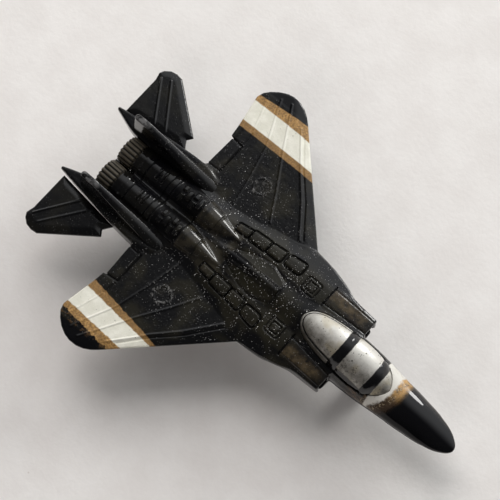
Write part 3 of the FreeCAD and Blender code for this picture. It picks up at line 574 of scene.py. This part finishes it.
def stabiliser():
    """Flat stabiliser with two raised lines and soft edges."""
    grid = Grid((-44.6, 8.2, 10.0), (-29.4, 21.0, 11.9), 0.12)
    x, y, z = grid.x, grid.y, grid.z
    plan = polygon(TAIL_PLAN, x, y)
    top = 11.55 - 0.30 * step(-1.6, 0.1, plan)
    relief = 0.19 * bump(path([(-43.0, 17.9), (-37.7, 10.1)], x, y), 0.32)
    relief = relief + 0.19 * bump(path([(-41.1, 18.7), (-35.0, 10.2)], x, y), 0.32)
    body = meet(plan, np.maximum(z - top - relief, 10.42 - z), 0.5)
    return grid, body


def petals(grid, centre=0.0):
    """1 along the crest of each petal of a nozzle, 0 in the valleys between."""
    angle = np.arctan2(grid.z - NOZZLE_Z, grid.y - centre)
    return np.sqrt(np.abs(np.cos(PETALS / 2 * angle)) + 0.02)


def nozzle():
    """Ring of long petals round an open bore."""
    grid = Grid((-38.7, -3.05, 8.5), (-34.3, 3.05, 14.7), 0.1)
    x, y, z = grid.x, grid.y, grid.z
    reach = np.hypot(y, z - NOZZLE_Z)
    petal = petals(grid)
    length = (x - NOZZLE_AFT) / 3.5
    outer = 2.42 + 0.42 * petal * step(1.02, 0.9, length) - 0.10 * step(0.25, 0.0, length)
    rim = -38.38 + 0.22 * (1 - petal)
    body = meet(reach - outer, np.maximum(rim - x, x + 34.7), 0.2)
    bore = 1.9 + 0.25 * step(0.4, 0.0, length)
    return grid, meet(body, -np.maximum(reach - bore, x + 35.6), 0.12)


# ---- materials
class Nodes:
    """Small helper that builds a material's node tree."""

    def __init__(self, name):
        self.material = bpy.data.materials.new(name)
        self.material.use_nodes = True
        self.tree = self.material.node_tree
        self.surface = self.tree.nodes["Principled BSDF"]
        place = self.tree.nodes.new("ShaderNodeTexCoord")
        self.place = place.outputs["Object"]
        split = self.tree.nodes.new("ShaderNodeSeparateXYZ")
        self.link(self.place, split.inputs[0])
        self.x, self.y, self.z = [self.times(part, 1000.0) for part in split.outputs]

    def link(self, source, target):
        """Feed a socket or a plain value into an input."""
        if isinstance(source, bpy.types.NodeSocket):
            self.tree.links.new(source, target)
        else:
            target.default_value = source

    def math(self, operation, first, second=0.0):
        """One arithmetic step; returns its output."""
        node = self.tree.nodes.new("ShaderNodeMath")
        node.operation = operation
        for value, socket in zip((first, second), node.inputs):
            self.link(value, socket)
        return node.outputs[0]

    def add(self, first, second):
        return self.math("ADD", first, second)

    def times(self, first, second):
        return self.math("MULTIPLY", first, second)

    def less(self, value, share=1.0):
        """1 minus a share of the value."""
        return self.add(1.0, self.times(value, -share))

    def ramp(self, value, low, high):
        """0 below low, 1 above high, smooth between; low may be the larger."""
        node = self.tree.nodes.new("ShaderNodeMapRange")
        node.interpolation_type = "SMOOTHSTEP"
        flip = low > high
        self.link(value, node.inputs[0])
        node.inputs[1].default_value = min(low, high)
        node.inputs[2].default_value = max(low, high)
        node.inputs[3].default_value = 1.0 if flip else 0.0
        node.inputs[4].default_value = 0.0 if flip else 1.0
        return node.outputs[0]

    def noise(self, per_mm, detail=2.0, rough=0.5, distortion=0.0):
        """Noise about 0.5, with this many cells in a millimetre."""
        node = self.tree.nodes.new("ShaderNodeTexNoise")
        self.link(self.place, node.inputs["Vector"])
        node.inputs["Scale"].default_value = per_mm * 1000.0
        node.inputs["Detail"].default_value = detail
        node.inputs["Roughness"].default_value = rough
        node.inputs["Distortion"].default_value = distortion
        return node.outputs["Fac"]

    def dots(self, per_mm, size, share):
        """Scattered round dots; share is the part of the cells that hold one."""
        node = self.tree.nodes.new("ShaderNodeTexVoronoi")
        self.link(self.place, node.inputs["Vector"])
        node.inputs["Scale"].default_value = per_mm * 1000.0
        split = self.tree.nodes.new("ShaderNodeSeparateColor")
        self.link(node.outputs["Color"], split.inputs[0])
        chosen = self.math("LESS_THAN", split.outputs[0], share)
        return self.times(self.ramp(node.outputs["Distance"], size, size * 0.5), chosen)

    def mix(self, factor, first, second):
        """Colour mix; colours are tuples or sockets."""
        node = self.tree.nodes.new("ShaderNodeMix")
        node.data_type = "RGBA"
        node.clamp_factor = True
        self.link(factor, node.inputs[0])
        for value, socket in ((first, node.inputs[6]), (second, node.inputs[7])):
            if isinstance(value, tuple):
                value = (*value, 1.0)
            self.link(value, socket)
        return node.outputs[2]

    def relief(self, height, strength, distance):
        """Bump chained onto any bump made before."""
        node = self.tree.nodes.new("ShaderNodeBump")
        node.inputs["Strength"].default_value = strength
        node.inputs["Distance"].default_value = distance * MM
        self.link(height, node.inputs["Height"])
        earlier = self.surface.inputs["Normal"].links
        if earlier:
            self.link(earlier[0].from_socket, node.inputs["Normal"])
        self.link(node.outputs[0], self.surface.inputs["Normal"])

    def attribute(self, name):
        """Value stored at the vertices under this name."""
        node = self.tree.nodes.new("ShaderNodeAttribute")
        node.attribute_name = name
        return node.outputs["Fac"]

    def any(self, *values):
        """The largest of the values."""
        result = values[0]
        for value in values[1:]:
            result = self.math("MAXIMUM", result, value)
        return result

    def all(self, *values):
        """The product of the values."""
        result = values[0]
        for value in values[1:]:
            result = self.times(result, value)
        return result

    def set(self, **values):
        """Set inputs of the surface by name, with _ for a space."""
        for name, value in values.items():
            socket = self.surface.inputs[name.replace("_", " ")]
            if isinstance(value, tuple):
                value = (*value, 1.0)
            self.link(value, socket)


IVORY = (0.69, 0.69, 0.595)
PALE_IVORY = (0.79, 0.79, 0.70)
GOLD = (0.50, 0.300, 0.106)
DARK_GOLD = (0.165, 0.095, 0.036)
BROWN = (0.075, 0.045, 0.022)
BLACK = (0.0036, 0.0036, 0.0041)
OLIVE = (0.018, 0.0165, 0.011)
BRONZE = (0.026, 0.023, 0.016)
DUST_AND_SPARKLE = (0.78, 0.78, 0.76)
POLISHED_BLACK = (0.0026, 0.0026, 0.0034)
GROOVE_SHADE = (0.0022, 0.0022, 0.0022)
PANEL_OLIVE = (0.019, 0.0175, 0.011)
RUST = (0.098, 0.074, 0.042)
CHEEK_BROWN = (0.11, 0.065, 0.035)
WEAR_AND_GLINT_GREY = (0.16, 0.16, 0.155)
BLOCK_GLINT_GREY = (0.40, 0.39, 0.37)
SCUFF_GREY = (0.30, 0.30, 0.29)
RAISED_IVORY = (0.80, 0.80, 0.73)
PIT = (0.16, 0.15, 0.13)
NOSE_GOLD = (0.42, 0.245, 0.080)
NOSE_SHADED_GOLD = (0.042, 0.026, 0.015)
NOSE_CHALK = (0.40, 0.33, 0.22)
NOSE_WHITE = (0.60, 0.59, 0.54)
NOSE_SMUDGE = (0.30, 0.26, 0.20)
SILVER = (0.68, 0.67, 0.62)
SHADED_SILVER = (0.105, 0.095, 0.078)


def black_paint(nodes, olive_share=0.8):
    """Glossy black with an olive cast on broad faces, and its scattered pale specks, which are dust and
    also painted sparkle glints.
    """
    cloud = nodes.ramp(nodes.noise(0.16, 3.0), 0.44, 0.64)
    colour = nodes.mix(nodes.times(cloud, olive_share), BLACK, OLIVE)
    clumps = nodes.ramp(nodes.noise(0.45, 3.0, 0.6), 0.38, 0.60)
    large = nodes.times(nodes.dots(2.2, 0.22, 0.27), nodes.add(0.30, nodes.times(clumps, 0.70)))
    fine = nodes.times(nodes.dots(4.5, 0.27, 0.28), clumps)
    return colour, nodes.any(large, nodes.times(fine, 0.8))


def wing_bands(n, side, right):
    """Masks of the gold and the ivory paint across the wings."""
    along = n.add(n.x, 25.0)
    wobble = n.times(n.add(n.noise(1.1, 4.0, 0.65), -0.5), n.add(0.22, n.times(right, 0.30)))
    chips = n.times(n.add(n.noise(0.55, 3.0, 0.6), -0.5), n.times(right, 1.3))

    def past(place_left, slope_left, place_right, slope_right, ragged):
        """1 outboard of a slanting line that differs a little between the wings."""
        slope = n.add(slope_left, n.times(right, slope_right - slope_left))
        place = n.add(place_left, n.times(right, place_right - place_left))
        reach = n.add(n.add(side, wobble), n.times(chips, ragged))
        reach = n.add(reach, n.times(n.times(along, slope), -1.0))
        return n.ramp(n.add(reach, n.times(place, -1.0)), -0.12, 0.12)

    inner = past(20.4, 0.020, 19.9, 0.115, 0.1)
    white_inner = past(21.75, 0.020, 21.7, 0.056, 0.05)
    white_outer = past(26.2, 0.015, 26.1, 0.030, 0.1)
    outer = past(27.7, 0.100, 27.4, 0.085, 1.0)
    faces = n.times(n.ramp(n.z, 11.5, 11.8), n.ramp(n.x, 5.0, 4.0))
    gold = n.all(inner, n.less(outer), faces)
    white = n.all(white_inner, n.less(white_outer), faces)
    return gold, white, outer


def wing_paints(n, side, height, pits):
    """Grainy gold, darker on the inner bands, and pitted ivory."""
    grain = n.ramp(n.noise(3.4, 4.0, 0.7), 0.34, 0.66)
    flecks = n.ramp(n.noise(0.9, 3.0, 0.6), 0.35, 0.65)
    gold = n.mix(n.times(grain, n.add(0.55, n.times(flecks, 0.45))), DARK_GOLD, GOLD)
    gold = n.mix(n.times(n.ramp(side, 24.0, 22.0), 0.50), gold, DARK_GOLD)
    ivory = n.mix(n.ramp(n.noise(0.5, 4.0, 0.6), 0.35, 0.7), IVORY, PALE_IVORY)
    ivory = n.mix(n.times(n.ramp(height, 0.05, 0.12), 0.6), ivory, RAISED_IVORY)
    return gold, n.mix(n.times(pits, 0.7), ivory, PIT)


def nose_bands(n, pits):
    """Mask and colour of the gold band, then of the white one, round the nose; the gold carries painted
    light, bright on the left side and shaded to brown on the right.
    """
    drop = n.math("MINIMUM", n.y, 0.0)
    place = n.add(n.x, n.times(n.times(drop, drop), 0.106))
    rough_edge = n.times(n.add(n.noise(1.1, 5.0, 0.75), -0.5), 1.8)
    front_line = n.add(place, rough_edge)
    above = n.ramp(n.z, 8.4, 8.7)
    gold_mask = n.times(n.ramp(n.x, 26.2, 26.5), n.ramp(front_line, 32.9, 31.5))
    # painted light: the gold is bright towards the left side and shades to dark brown on the right
    gold_lit_side = n.times(n.ramp(n.noise(1.1, 4.0, 0.7), 0.30, 0.58), n.ramp(n.y, -1.8, 1.5))
    chalky = n.all(n.ramp(n.noise(2.8, 4.0, 0.7), 0.50, 0.66), n.ramp(place, 31.8, 30.6))
    gold = n.mix(chalky, n.mix(gold_lit_side, NOSE_SHADED_GOLD, NOSE_GOLD), NOSE_CHALK)
    aft_line = n.add(n.x, n.times(n.ramp(n.y, 1.0, -4.0), -0.8))
    white_mask = n.all(n.ramp(aft_line, 26.1, 26.4), n.ramp(front_line, 30.3, 29.7))
    smudge = n.ramp(n.noise(0.8, 4.0, 0.65), 0.55, 0.72)
    dirt = n.any(n.times(pits, 0.6), n.times(smudge, 0.45))
    white = n.mix(dirt, NOSE_WHITE, NOSE_SMUDGE)
    return n.times(gold_mask, above), gold, n.times(white_mask, above), white


def scuffed_ring(n, colour, side, right):
    """The colour with scuffs over the plain ring on each wing."""
    from_x = n.add(n.x, -RING_X)
    from_y = n.add(side, -RING_Y)
    reach = n.math("SQRT", n.add(n.times(from_x, from_x), n.times(from_y, from_y)))
    scuffs = n.ramp(n.noise(2.1, 5.0, 0.75, 0.8), 0.52, 0.62)
    on_ring = n.ramp(n.math("ABSOLUTE", n.add(reach, -RING_RADIUS)), 0.62, 0.25)
    patch = n.times(n.ramp(reach, 2.9, 1.4), n.add(0.45, n.times(right, -0.35)))
    strength = n.add(0.34, n.times(right, 0.22))
    return n.mix(n.all(scuffs, n.any(on_ring, patch), strength), colour, SCUFF_GREY)


def shell_wear(n, colour, side, height, sunk, inner_wing):
    """The colour with painted shade in the grooves, and grey on what stands up that is partly wear and
    partly painted glint.
    """
    # painted shade: the sunk grooves are darkened to near black
    colour = n.mix(n.times(sunk, 0.9), colour, GROOVE_SHADE)
    # the grey on raised edges is partly wear and partly a painted glint
    raised = n.times(n.ramp(height, 0.07, 0.13), n.ramp(height, 0.27, 0.21))
    worn = n.all(raised, n.ramp(n.noise(1.8, 4.0, 0.7), 0.50, 0.64), inner_wing)
    colour = n.mix(n.times(worn, 0.30), colour, WEAR_AND_GLINT_GREY)
    # painted highlight: pale grey glints along the edges of the raised blocks on the engines, looking like
    # chipped paint
    blocks = n.all(n.ramp(n.x, -18.9, -19.2), n.ramp(n.x, -30.6, -30.2), n.ramp(side, 5.5, 5.1),
                   n.ramp(n.z, 12.4, 12.8))
    corners = n.all(n.ramp(height, 0.00, 0.06), n.ramp(height, 0.20, 0.12),
                    n.ramp(n.noise(1.6, 3.0, 0.6), 0.46, 0.56))
    return n.mix(n.all(blocks, corners, 0.60), colour, BLOCK_GLINT_GREY)


def shell_paint():
    """The casting's paint: black, with ivory and gold bands."""
    n = Nodes("shell_paint")
    side = n.math("ABSOLUTE", n.y)
    right = n.math("LESS_THAN", n.y, 0.0)
    height = n.attribute("relief")
    sunk = n.ramp(height, -0.03, -0.13)
    colour, specks = black_paint(n)

    # zones of the black paint
    centre = n.all(n.ramp(side, 9.5, 7.0), n.ramp(n.x, 20.0, 17.0))
    inner_wing = n.all(n.ramp(side, 20.0, 12.0), n.ramp(n.x, 12.0, 6.0))
    aft = n.all(n.ramp(n.x, -18.4, -20.4), n.ramp(side, 9.0, 7.5))
    deck = n.all(n.ramp(n.x, -13.0, -8.0), n.ramp(n.x, 10.0, 9.6), n.ramp(side, 8.2, 7.4),
                 n.ramp(side, 3.2, 4.2))
    brake_flat = n.all(n.ramp(n.x, -9.0, -7.0), n.ramp(n.x, 2.4, 1.8), n.ramp(side, 3.4, 2.9),
                       n.ramp(side, 1.0, 1.3))
    colour = n.mix(n.times(n.any(deck, brake_flat), 0.60), colour, PANEL_OLIVE)
    engine_top = n.all(n.ramp(n.x, -18.6, -18.2), n.ramp(n.z, 12.9, 13.4), n.ramp(n.x, -9.0, -9.6),
                       n.ramp(side, 0.3, 0.7), n.ramp(side, 6.2, 5.6))
    colour = n.mix(n.times(engine_top, n.ramp(n.noise(0.5, 3.0), 0.30, 0.62)), colour, BRONZE)
    ramps = n.all(n.ramp(n.x, 9.9, 10.2), n.ramp(side, 4.6, 5.2), n.ramp(side, 8.6, 8.1),
                  n.ramp(n.z, 11.9, 12.3))
    rust = n.ramp(n.noise(0.7, 6.0, 0.7), 0.26, 0.74)
    middle = n.all(n.ramp(side, 5.2, 6.2), n.ramp(side, 8.2, 7.4), n.ramp(n.x, 18.8, 16.5))
    colour = n.mix(n.all(ramps, rust, n.add(0.12, n.times(middle, 0.80))), colour, RUST)
    cheek = n.all(n.ramp(n.x, 22.5, 24.0), n.ramp(n.x, 28.0, 26.8), n.ramp(n.y, -4.0, -4.4), rust)
    colour = n.mix(n.times(cheek, 0.8), colour, CHEEK_BROWN)

    # wear, painted shade in the grooves, painted glints on raised and block edges, and pale specks of dust
    # and painted sparkle
    colour = shell_wear(n, colour, side, height, sunk, inner_wing)
    amount = n.add(n.add(0.12, n.times(centre, 0.70)), n.times(inner_wing, 0.26))
    amount = n.all(amount, n.ramp(n.x, 30.0, 27.0), n.less(n.any(engine_top, aft, ramps), 0.80))
    # pale specks: dust, and also painted sparkle glints
    colour = n.mix(n.times(specks, amount), colour, DUST_AND_SPARKLE)
    colour = scuffed_ring(n, colour, side, right)

    # bands across the wings and round the nose
    pits = n.any(n.dots(1.0, 0.14, 0.16), n.dots(2.4, 0.2, 0.07))
    wing_gold, wing_white, tip = wing_bands(n, side, right)
    gold, ivory = wing_paints(n, side, height, pits)
    colour = n.mix(wing_gold, colour, gold)
    colour = n.mix(wing_white, colour, ivory)
    chipped = n.ramp(n.noise(1.3, 4.0, 0.7), 0.50, 0.60)
    colour = n.mix(n.all(tip, right, n.ramp(side, 29.6, 28.4), chipped), colour, BROWN)
    nose_gold, nose_gold_colour, nose_white, nose_white_colour = nose_bands(n, pits)
    colour = n.mix(nose_gold, colour, nose_gold_colour)
    colour = n.mix(nose_white, colour, nose_white_colour)

    # gloss: highest on the nose, the wing tips and the tail
    matt = n.any(wing_gold, wing_white, nose_white, n.times(nose_gold, 0.8))
    polished = n.any(n.ramp(n.x, 30.5, 32.5), n.ramp(side, 28.6, 29.2))
    bare = n.times(polished, n.less(matt))
    colour = n.mix(n.any(bare, n.times(aft, 0.7)), colour, POLISHED_BLACK)
    rough = n.add(0.10, n.times(n.noise(0.7, 3.0), 0.12))
    rough = n.add(rough, n.times(n.any(polished, n.times(n.any(engine_top, aft), 0.6)), -0.10))
    rough = n.add(rough, n.add(n.times(matt, 0.30), n.times(sunk, 0.25)))
    spine = n.all(n.ramp(side, 3.9, 3.2), n.ramp(n.x, -12.0, -9.0), n.ramp(n.x, 10.5, 9.0))
    low_nose = n.all(n.ramp(n.x, 20.0, 22.5), n.ramp(n.z, 12.0, 10.2), n.ramp(n.y, -1.5, -3.0), 0.34)
    dull = n.any(n.times(sunk, 0.35), n.times(spine, 0.28), low_nose)
    n.set(Base_Color=colour, Roughness=rough, Specular_IOR_Level=n.add(0.5, n.times(dull, -1.0)))
    bumpy = n.less(n.any(polished, n.times(n.any(engine_top, aft), 0.85)), 0.93)
    n.relief(n.times(n.add(n.noise(1.3, 4.0, 0.65), n.times(specks, 0.5)), bumpy), 0.6, 0.08)
    n.relief(n.times(n.noise(5.0, 2.0), bumpy), 0.3, 0.03)
    return n.material


def plain_black(name, speckle, rough, shine):
    """Smooth glossy black for the tail pieces and the belly."""
    n = Nodes(name)
    colour, dust_and_glint = black_paint(n, 0.35)
    # pale specks: dust, and also painted sparkle glints
    colour = n.mix(n.times(dust_and_glint, speckle), colour, DUST_AND_SPARKLE)
    n.set(Base_Color=colour, Roughness=n.add(rough, n.times(n.noise(0.8, 3.0), 0.10)),
          Specular_IOR_Level=shine)
    n.relief(n.add(n.noise(0.9, 3.0, 0.6), n.times(dust_and_glint, 0.2)), 0.45, 0.07)
    return n.material


def fin_paint():
    """Glossy black, worn to grey metal along the top of each fin."""
    n = Nodes("fin_paint")
    colour, dust_and_glint = black_paint(n, 0.25)
    top = n.ramp(n.z, 18.9, 19.5)
    worn = n.times(top, n.ramp(n.noise(0.9, 4.0, 0.65), 0.46, 0.60))
    cap = n.all(n.ramp(n.x, -36.7, -36.3), n.ramp(n.x, -35.2, -35.6), n.ramp(n.z, 19.1, 19.4))
    worn = n.any(n.times(worn, 0.40), n.times(cap, 0.15))
    # pale specks: dust, and also painted sparkle glints
    colour = n.mix(n.times(dust_and_glint, 0.25), colour, DUST_AND_SPARKLE)
    colour = n.mix(worn, colour, (0.26, 0.26, 0.26))
    n.set(Base_Color=colour, Roughness=n.add(0.15, n.times(worn, 0.3)))
    n.relief(n.noise(0.6, 3.0, 0.55), 0.3, 0.06)
    return n.material


def nozzle_finish():
    """Dark bronze plastic, with painted highlights on the crests of the petals and painted shade in the
    valleys between.
    """
    n = Nodes("nozzle_bronze")
    grain = n.ramp(n.noise(0.9, 4.0, 0.6), 0.35, 0.7)
    colour = n.mix(grain, (0.016, 0.014, 0.010), (0.060, 0.052, 0.038))
    # painted light: crests paler as highlights, valleys near black as shade
    crest = n.ramp(n.attribute("relief"), 0.55, 0.95)
    colour = n.mix(n.times(crest, 0.55), n.mix(n.ramp(crest, 0.35, 0.0), colour, (0.008, 0.007, 0.006)),
                   (0.145, 0.128, 0.098))
    n.set(Base_Color=colour, Metallic=0.3, Roughness=0.40)
    n.relief(n.noise(2.2, 3.0), 0.35, 0.04)
    return n.material


def canopy_paint():
    """Silver panes between glossy black frames, with worn specks, painted shade that darkens the silver
    towards the right side and the ends, and a groove inside the rim painted black as shade.
    """
    n = Nodes("canopy_paint")
    arc = n.add(n.x, n.times(n.times(n.y, n.y), FRAME_SWEEP))
    arc = n.add(arc, n.times(n.add(n.noise(1.2, 3.0), -0.5), 0.22))
    rear = n.ramp(n.math("ABSOLUTE", n.add(arc, -REAR_FRAME)), 1.08, 0.88)
    front = n.ramp(n.math("ABSOLUTE", n.add(arc, -FRONT_FRAME)), 1.02, 0.82)
    frames = n.any(rear, front)
    low_right = n.all(n.ramp(n.y, -3.40, -3.70), n.ramp(n.x, 19.0, 19.4), n.ramp(n.x, 26.4, 26.0))
    low_any = n.times(n.ramp(n.z, 12.75, 12.55), n.ramp(n.x, 27.2, 26.8))
    black = n.any(frames, low_right, low_any)
    # painted shade: the groove inside the rim is coloured black
    groove = n.ramp(n.attribute("relief"), -0.05, -0.12)
    black = n.any(black, groove)
    # painted shade: the silver darkens towards the right side, the aft end and the front of the windscreen
    shade = n.add(n.times(n.ramp(n.y, 2.4, -4.2), 0.74), n.times(n.ramp(n.x, 19.0, 8.0), 0.26))
    shade = n.add(shade, n.times(n.ramp(n.x, 26.5, 29.0), 0.42))
    shade = n.add(shade, n.times(n.add(n.noise(0.40, 5.0, 0.7), -0.5), 0.9))
    silver = n.mix(n.ramp(shade, 0.0, 1.0), SILVER, SHADED_SILVER)
    tint = n.times(n.ramp(n.noise(0.3, 2.0), 0.48, 0.68), 0.45)
    silver = n.mix(tint, silver, (0.46, 0.40, 0.26))
    specks = n.any(n.dots(1.0, 0.22, 0.24), n.dots(2.4, 0.30, 0.30))
    # dark mottling that grows towards the right side
    right_dark_mottle = n.times(n.ramp(n.noise(1.5, 6.0, 0.78), 0.50, 0.66), n.ramp(n.y, 1.2, -3.2))
    silver = n.mix(n.any(n.times(specks, 0.85), n.times(right_dark_mottle, 0.85)), silver, (0.035, 0.032, 0.028))
    colour = n.mix(black, silver, BLACK)
    n.set(Base_Color=colour, Metallic=n.times(n.less(black), 0.5),
          Roughness=n.add(0.38, n.times(black, -0.26)))
    n.relief(n.noise(1.6, 4.0, 0.65), 0.35, 0.06)
    return n.material


def plastic(name, colour, other, rough):
    """Moulded plastic with slight mottling and a fine skin."""
    n = Nodes(name)
    n.set(Base_Color=n.mix(n.noise(0.6, 3.0), colour, other),
          Roughness=n.add(rough, n.times(n.noise(1.5), 0.12)))
    n.relief(n.noise(1.0, 4.0, 0.6), 0.3, 0.05)
    return n.material


def steel(name, colour, rough):
    """Plain turned steel with fine scratches round it."""
    n = Nodes(name)
    scratches = n.noise(6.0, 3.0, 0.6)
    n.set(Base_Color=n.mix(scratches, colour, tuple(c * 0.6 for c in colour)), Metallic=1.0,
          Roughness=n.add(rough, n.times(scratches, 0.2)))
    n.relief(scratches, 0.2, 0.02)
    return n.material


def paper():
    """Pale warm paper with a fine tooth."""
    n = Nodes("paper")
    tone = n.mix(n.ramp(n.noise(0.12, 4.0, 0.6), 0.3, 0.7), (0.765, 0.751, 0.728), (0.812, 0.804, 0.782))
    specks = n.dots(0.16, 0.035, 0.25)
    n.set(Base_Color=n.mix(n.times(specks, 0.35), tone, (0.45, 0.40, 0.34)), Roughness=0.85,
          Specular_IOR_Level=0.2)
    n.relief(n.noise(1.1, 5.0, 0.6), 0.5, 0.10)
    return n.material


# ---- pieces
shell_finish = shell_paint()
tail_finish = plain_black("tail_paint", 0.10, 0.14, 0.55)
fin_finish = fin_paint()
belly_finish = plain_black("belly_plastic", 0.05, 0.30, 0.20)
bronze = nozzle_finish()

cast("upper_shell_cast", *upper_shell(), shell_finish, ["upper_shell"], "shell_paint", upper_relief)
cast("lower_shell_pan", *lower_shell(), belly_finish, ["lower_shell"], "black_plastic")
cast("canopy_bubble", *canopy(), canopy_paint(), ["canopy"], "canopy_silver", canopy_relief)


def nozzle_petals(spots):
    """The petals seen from the middle of the model, for the paint."""
    return petals(spots, ENGINE_Y)


def placed(name, grid, field, side, offset, material, node, slot, tops=None):
    """Mesh a piece made about y = 0 or on the left, on the side it belongs to."""
    low_x, low_y, low_z = grid.low
    if side < 0:
        field = field[:, ::-1, :]
        low_y = -(low_y + grid.size * (grid.y.size - 1))
    corner = np.array((low_x, low_y + side * offset, low_z))
    cast(name, grid, field, material, [node], slot, tops, corner)


fin_grid, fin_values = fin()
tail_grid, tail_values = stabiliser()
nozzle_grid, nozzle_values = nozzle()
for word, side in (("left", 1), ("right", -1)):
    placed(word + "_fin_blade", fin_grid, fin_values, side, FIN_Y, fin_finish, word + "_fin",
           "black_plastic")
    placed(word + "_stabiliser_blade", tail_grid, tail_values, side, 0.0, tail_finish, word + "_stabiliser",
           "black_plastic")
    placed(word + "_nozzle_petals", nozzle_grid, nozzle_values, side, ENGINE_Y, bronze, word + "_nozzle",
           "nozzle_bronze", nozzle_petals)

gear_finish = plastic("gear_plastic", (0.020, 0.020, 0.021), (0.035, 0.034, 0.033), 0.35)
wheel_finish = plastic("wheel_plastic", (0.012, 0.012, 0.012), (0.026, 0.025, 0.024), 0.5)
pin_finish = steel("pin_steel", (0.60, 0.60, 0.61), 0.25)
screw_finish = steel("screw_steel", (0.45, 0.45, 0.46), 0.3)
for name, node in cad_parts.items():
    if "wheel" in name:
        finish = wheel_finish
    elif "axle" in name:
        finish = pin_finish
    elif "leg" in name:
        finish = gear_finish
    elif "screw" in name:
        finish = screw_finish
    else:
        continue
    node.data.materials.clear()
    node.data.materials.append(finish)

# ---- stage
floor_mesh = bpy.data.meshes.new("paper_sheet")
SHEET = 0.9              # half the paper's side, in metres
sheet_corners = [(-SHEET, -SHEET, 0), (SHEET, -SHEET, 0), (SHEET, SHEET, 0), (-SHEET, SHEET, 0)]
floor_mesh.from_pydata(sheet_corners, [], [(0, 1, 2, 3)])
floor = bpy.data.objects.new("paper_sheet", floor_mesh)
floor_mesh.materials.append(paper())
bpy.context.scene.collection.objects.link(floor)

# a dim room that brightens towards the window, at +Y
world = bpy.data.worlds.new("room")
bpy.context.scene.world = world
world.use_nodes = True
sky = world.node_tree
direction = sky.nodes.new("ShaderNodeTexCoord")
towards_window = sky.nodes.new("ShaderNodeVectorMath")
towards_window.operation = "DOT_PRODUCT"
sky.links.new(direction.outputs["Generated"], towards_window.inputs[0])
towards_window.inputs[1].default_value = (-0.05, 1.0, 0.05)
strength = sky.nodes.new("ShaderNodeMapRange")
strength.interpolation_type = "SMOOTHSTEP"
sky.links.new(towards_window.outputs["Value"], strength.inputs[0])
for socket, value in zip(strength.inputs[1:5], (0.10, 0.68, 0.05, 0.90)):
    socket.default_value = value
backdrop = sky.nodes["Background"]
backdrop.inputs[0].default_value = (0.96, 0.98, 1.0, 1.0)
sky.links.new(strength.outputs[0], backdrop.inputs[1])


def soft_light(name, place, aim, size, power, colour, shiny=True):
    """Oval studio light that points at a spot."""
    data = bpy.data.lights.new(name, "AREA")
    data.shape = "ELLIPSE"
    data.size, data.size_y = size
    data.energy = power
    data.color = colour
    lamp = bpy.data.objects.new(name, data)
    lamp.location = place
    lamp.rotation_mode = "QUATERNION"
    lamp.rotation_quaternion = (Vector(aim) - Vector(place)).to_track_quat("-Z", "Y")
    lamp.visible_glossy = shiny
    bpy.context.scene.collection.objects.link(lamp)


MODEL = (0, 0, 0.01)     # middle of the toy, in metres
DAYLIGHT = (1.0, 0.99, 0.97)
soft_light("window", (0.20, 0.66, 0.26), MODEL, (0.20, 0.22), 1.25, DAYLIGHT, shiny=False)
soft_light("second_pane", (0.06, 0.69, 0.26), MODEL, (0.20, 0.26), 1.75, DAYLIGHT)
soft_light("fill", (-0.42, 0.30, 0.56), (0, 0, 0), (0.6, 0.6), 3.5, (1.0, 0.945, 0.925), shiny=False)
soft_light("bounce", (0.15, -0.60, 0.45), (0, 0, 0), (0.6, 0.6), 1.35, (1.0, 0.915, 0.89), shiny=False)

# ---- camera
CAMERA_PLACE = (0.0581, -0.0595, 0.3263)
towards = Vector((0.200, -0.192, 0.961)).normalized()   # from the toy to the camera
ahead = -towards
roll = 0.702             # radians; turns the nose to the lower right
east = (Vector((1, 0, 0)) - ahead * ahead.x).normalized()
south = ahead.cross(east)
right = math.cos(roll) * east - math.sin(roll) * south
down = math.sin(roll) * east + math.cos(roll) * south
camera_data = bpy.data.cameras.new("camera")
camera_data.lens = 126.7
camera_data.sensor_width = 36.0
camera_data.clip_start, camera_data.clip_end = 0.01, 5.0
camera = bpy.data.objects.new("camera", camera_data)
rotation = Matrix((right, -down, towards)).transposed()
camera.matrix_world = Matrix.Translation(CAMERA_PLACE) @ rotation.to_4x4()
bpy.context.scene.collection.objects.link(camera)
bpy.context.scene.camera = camera
bpy.context.scene.view_settings.view_transform = "Standard"
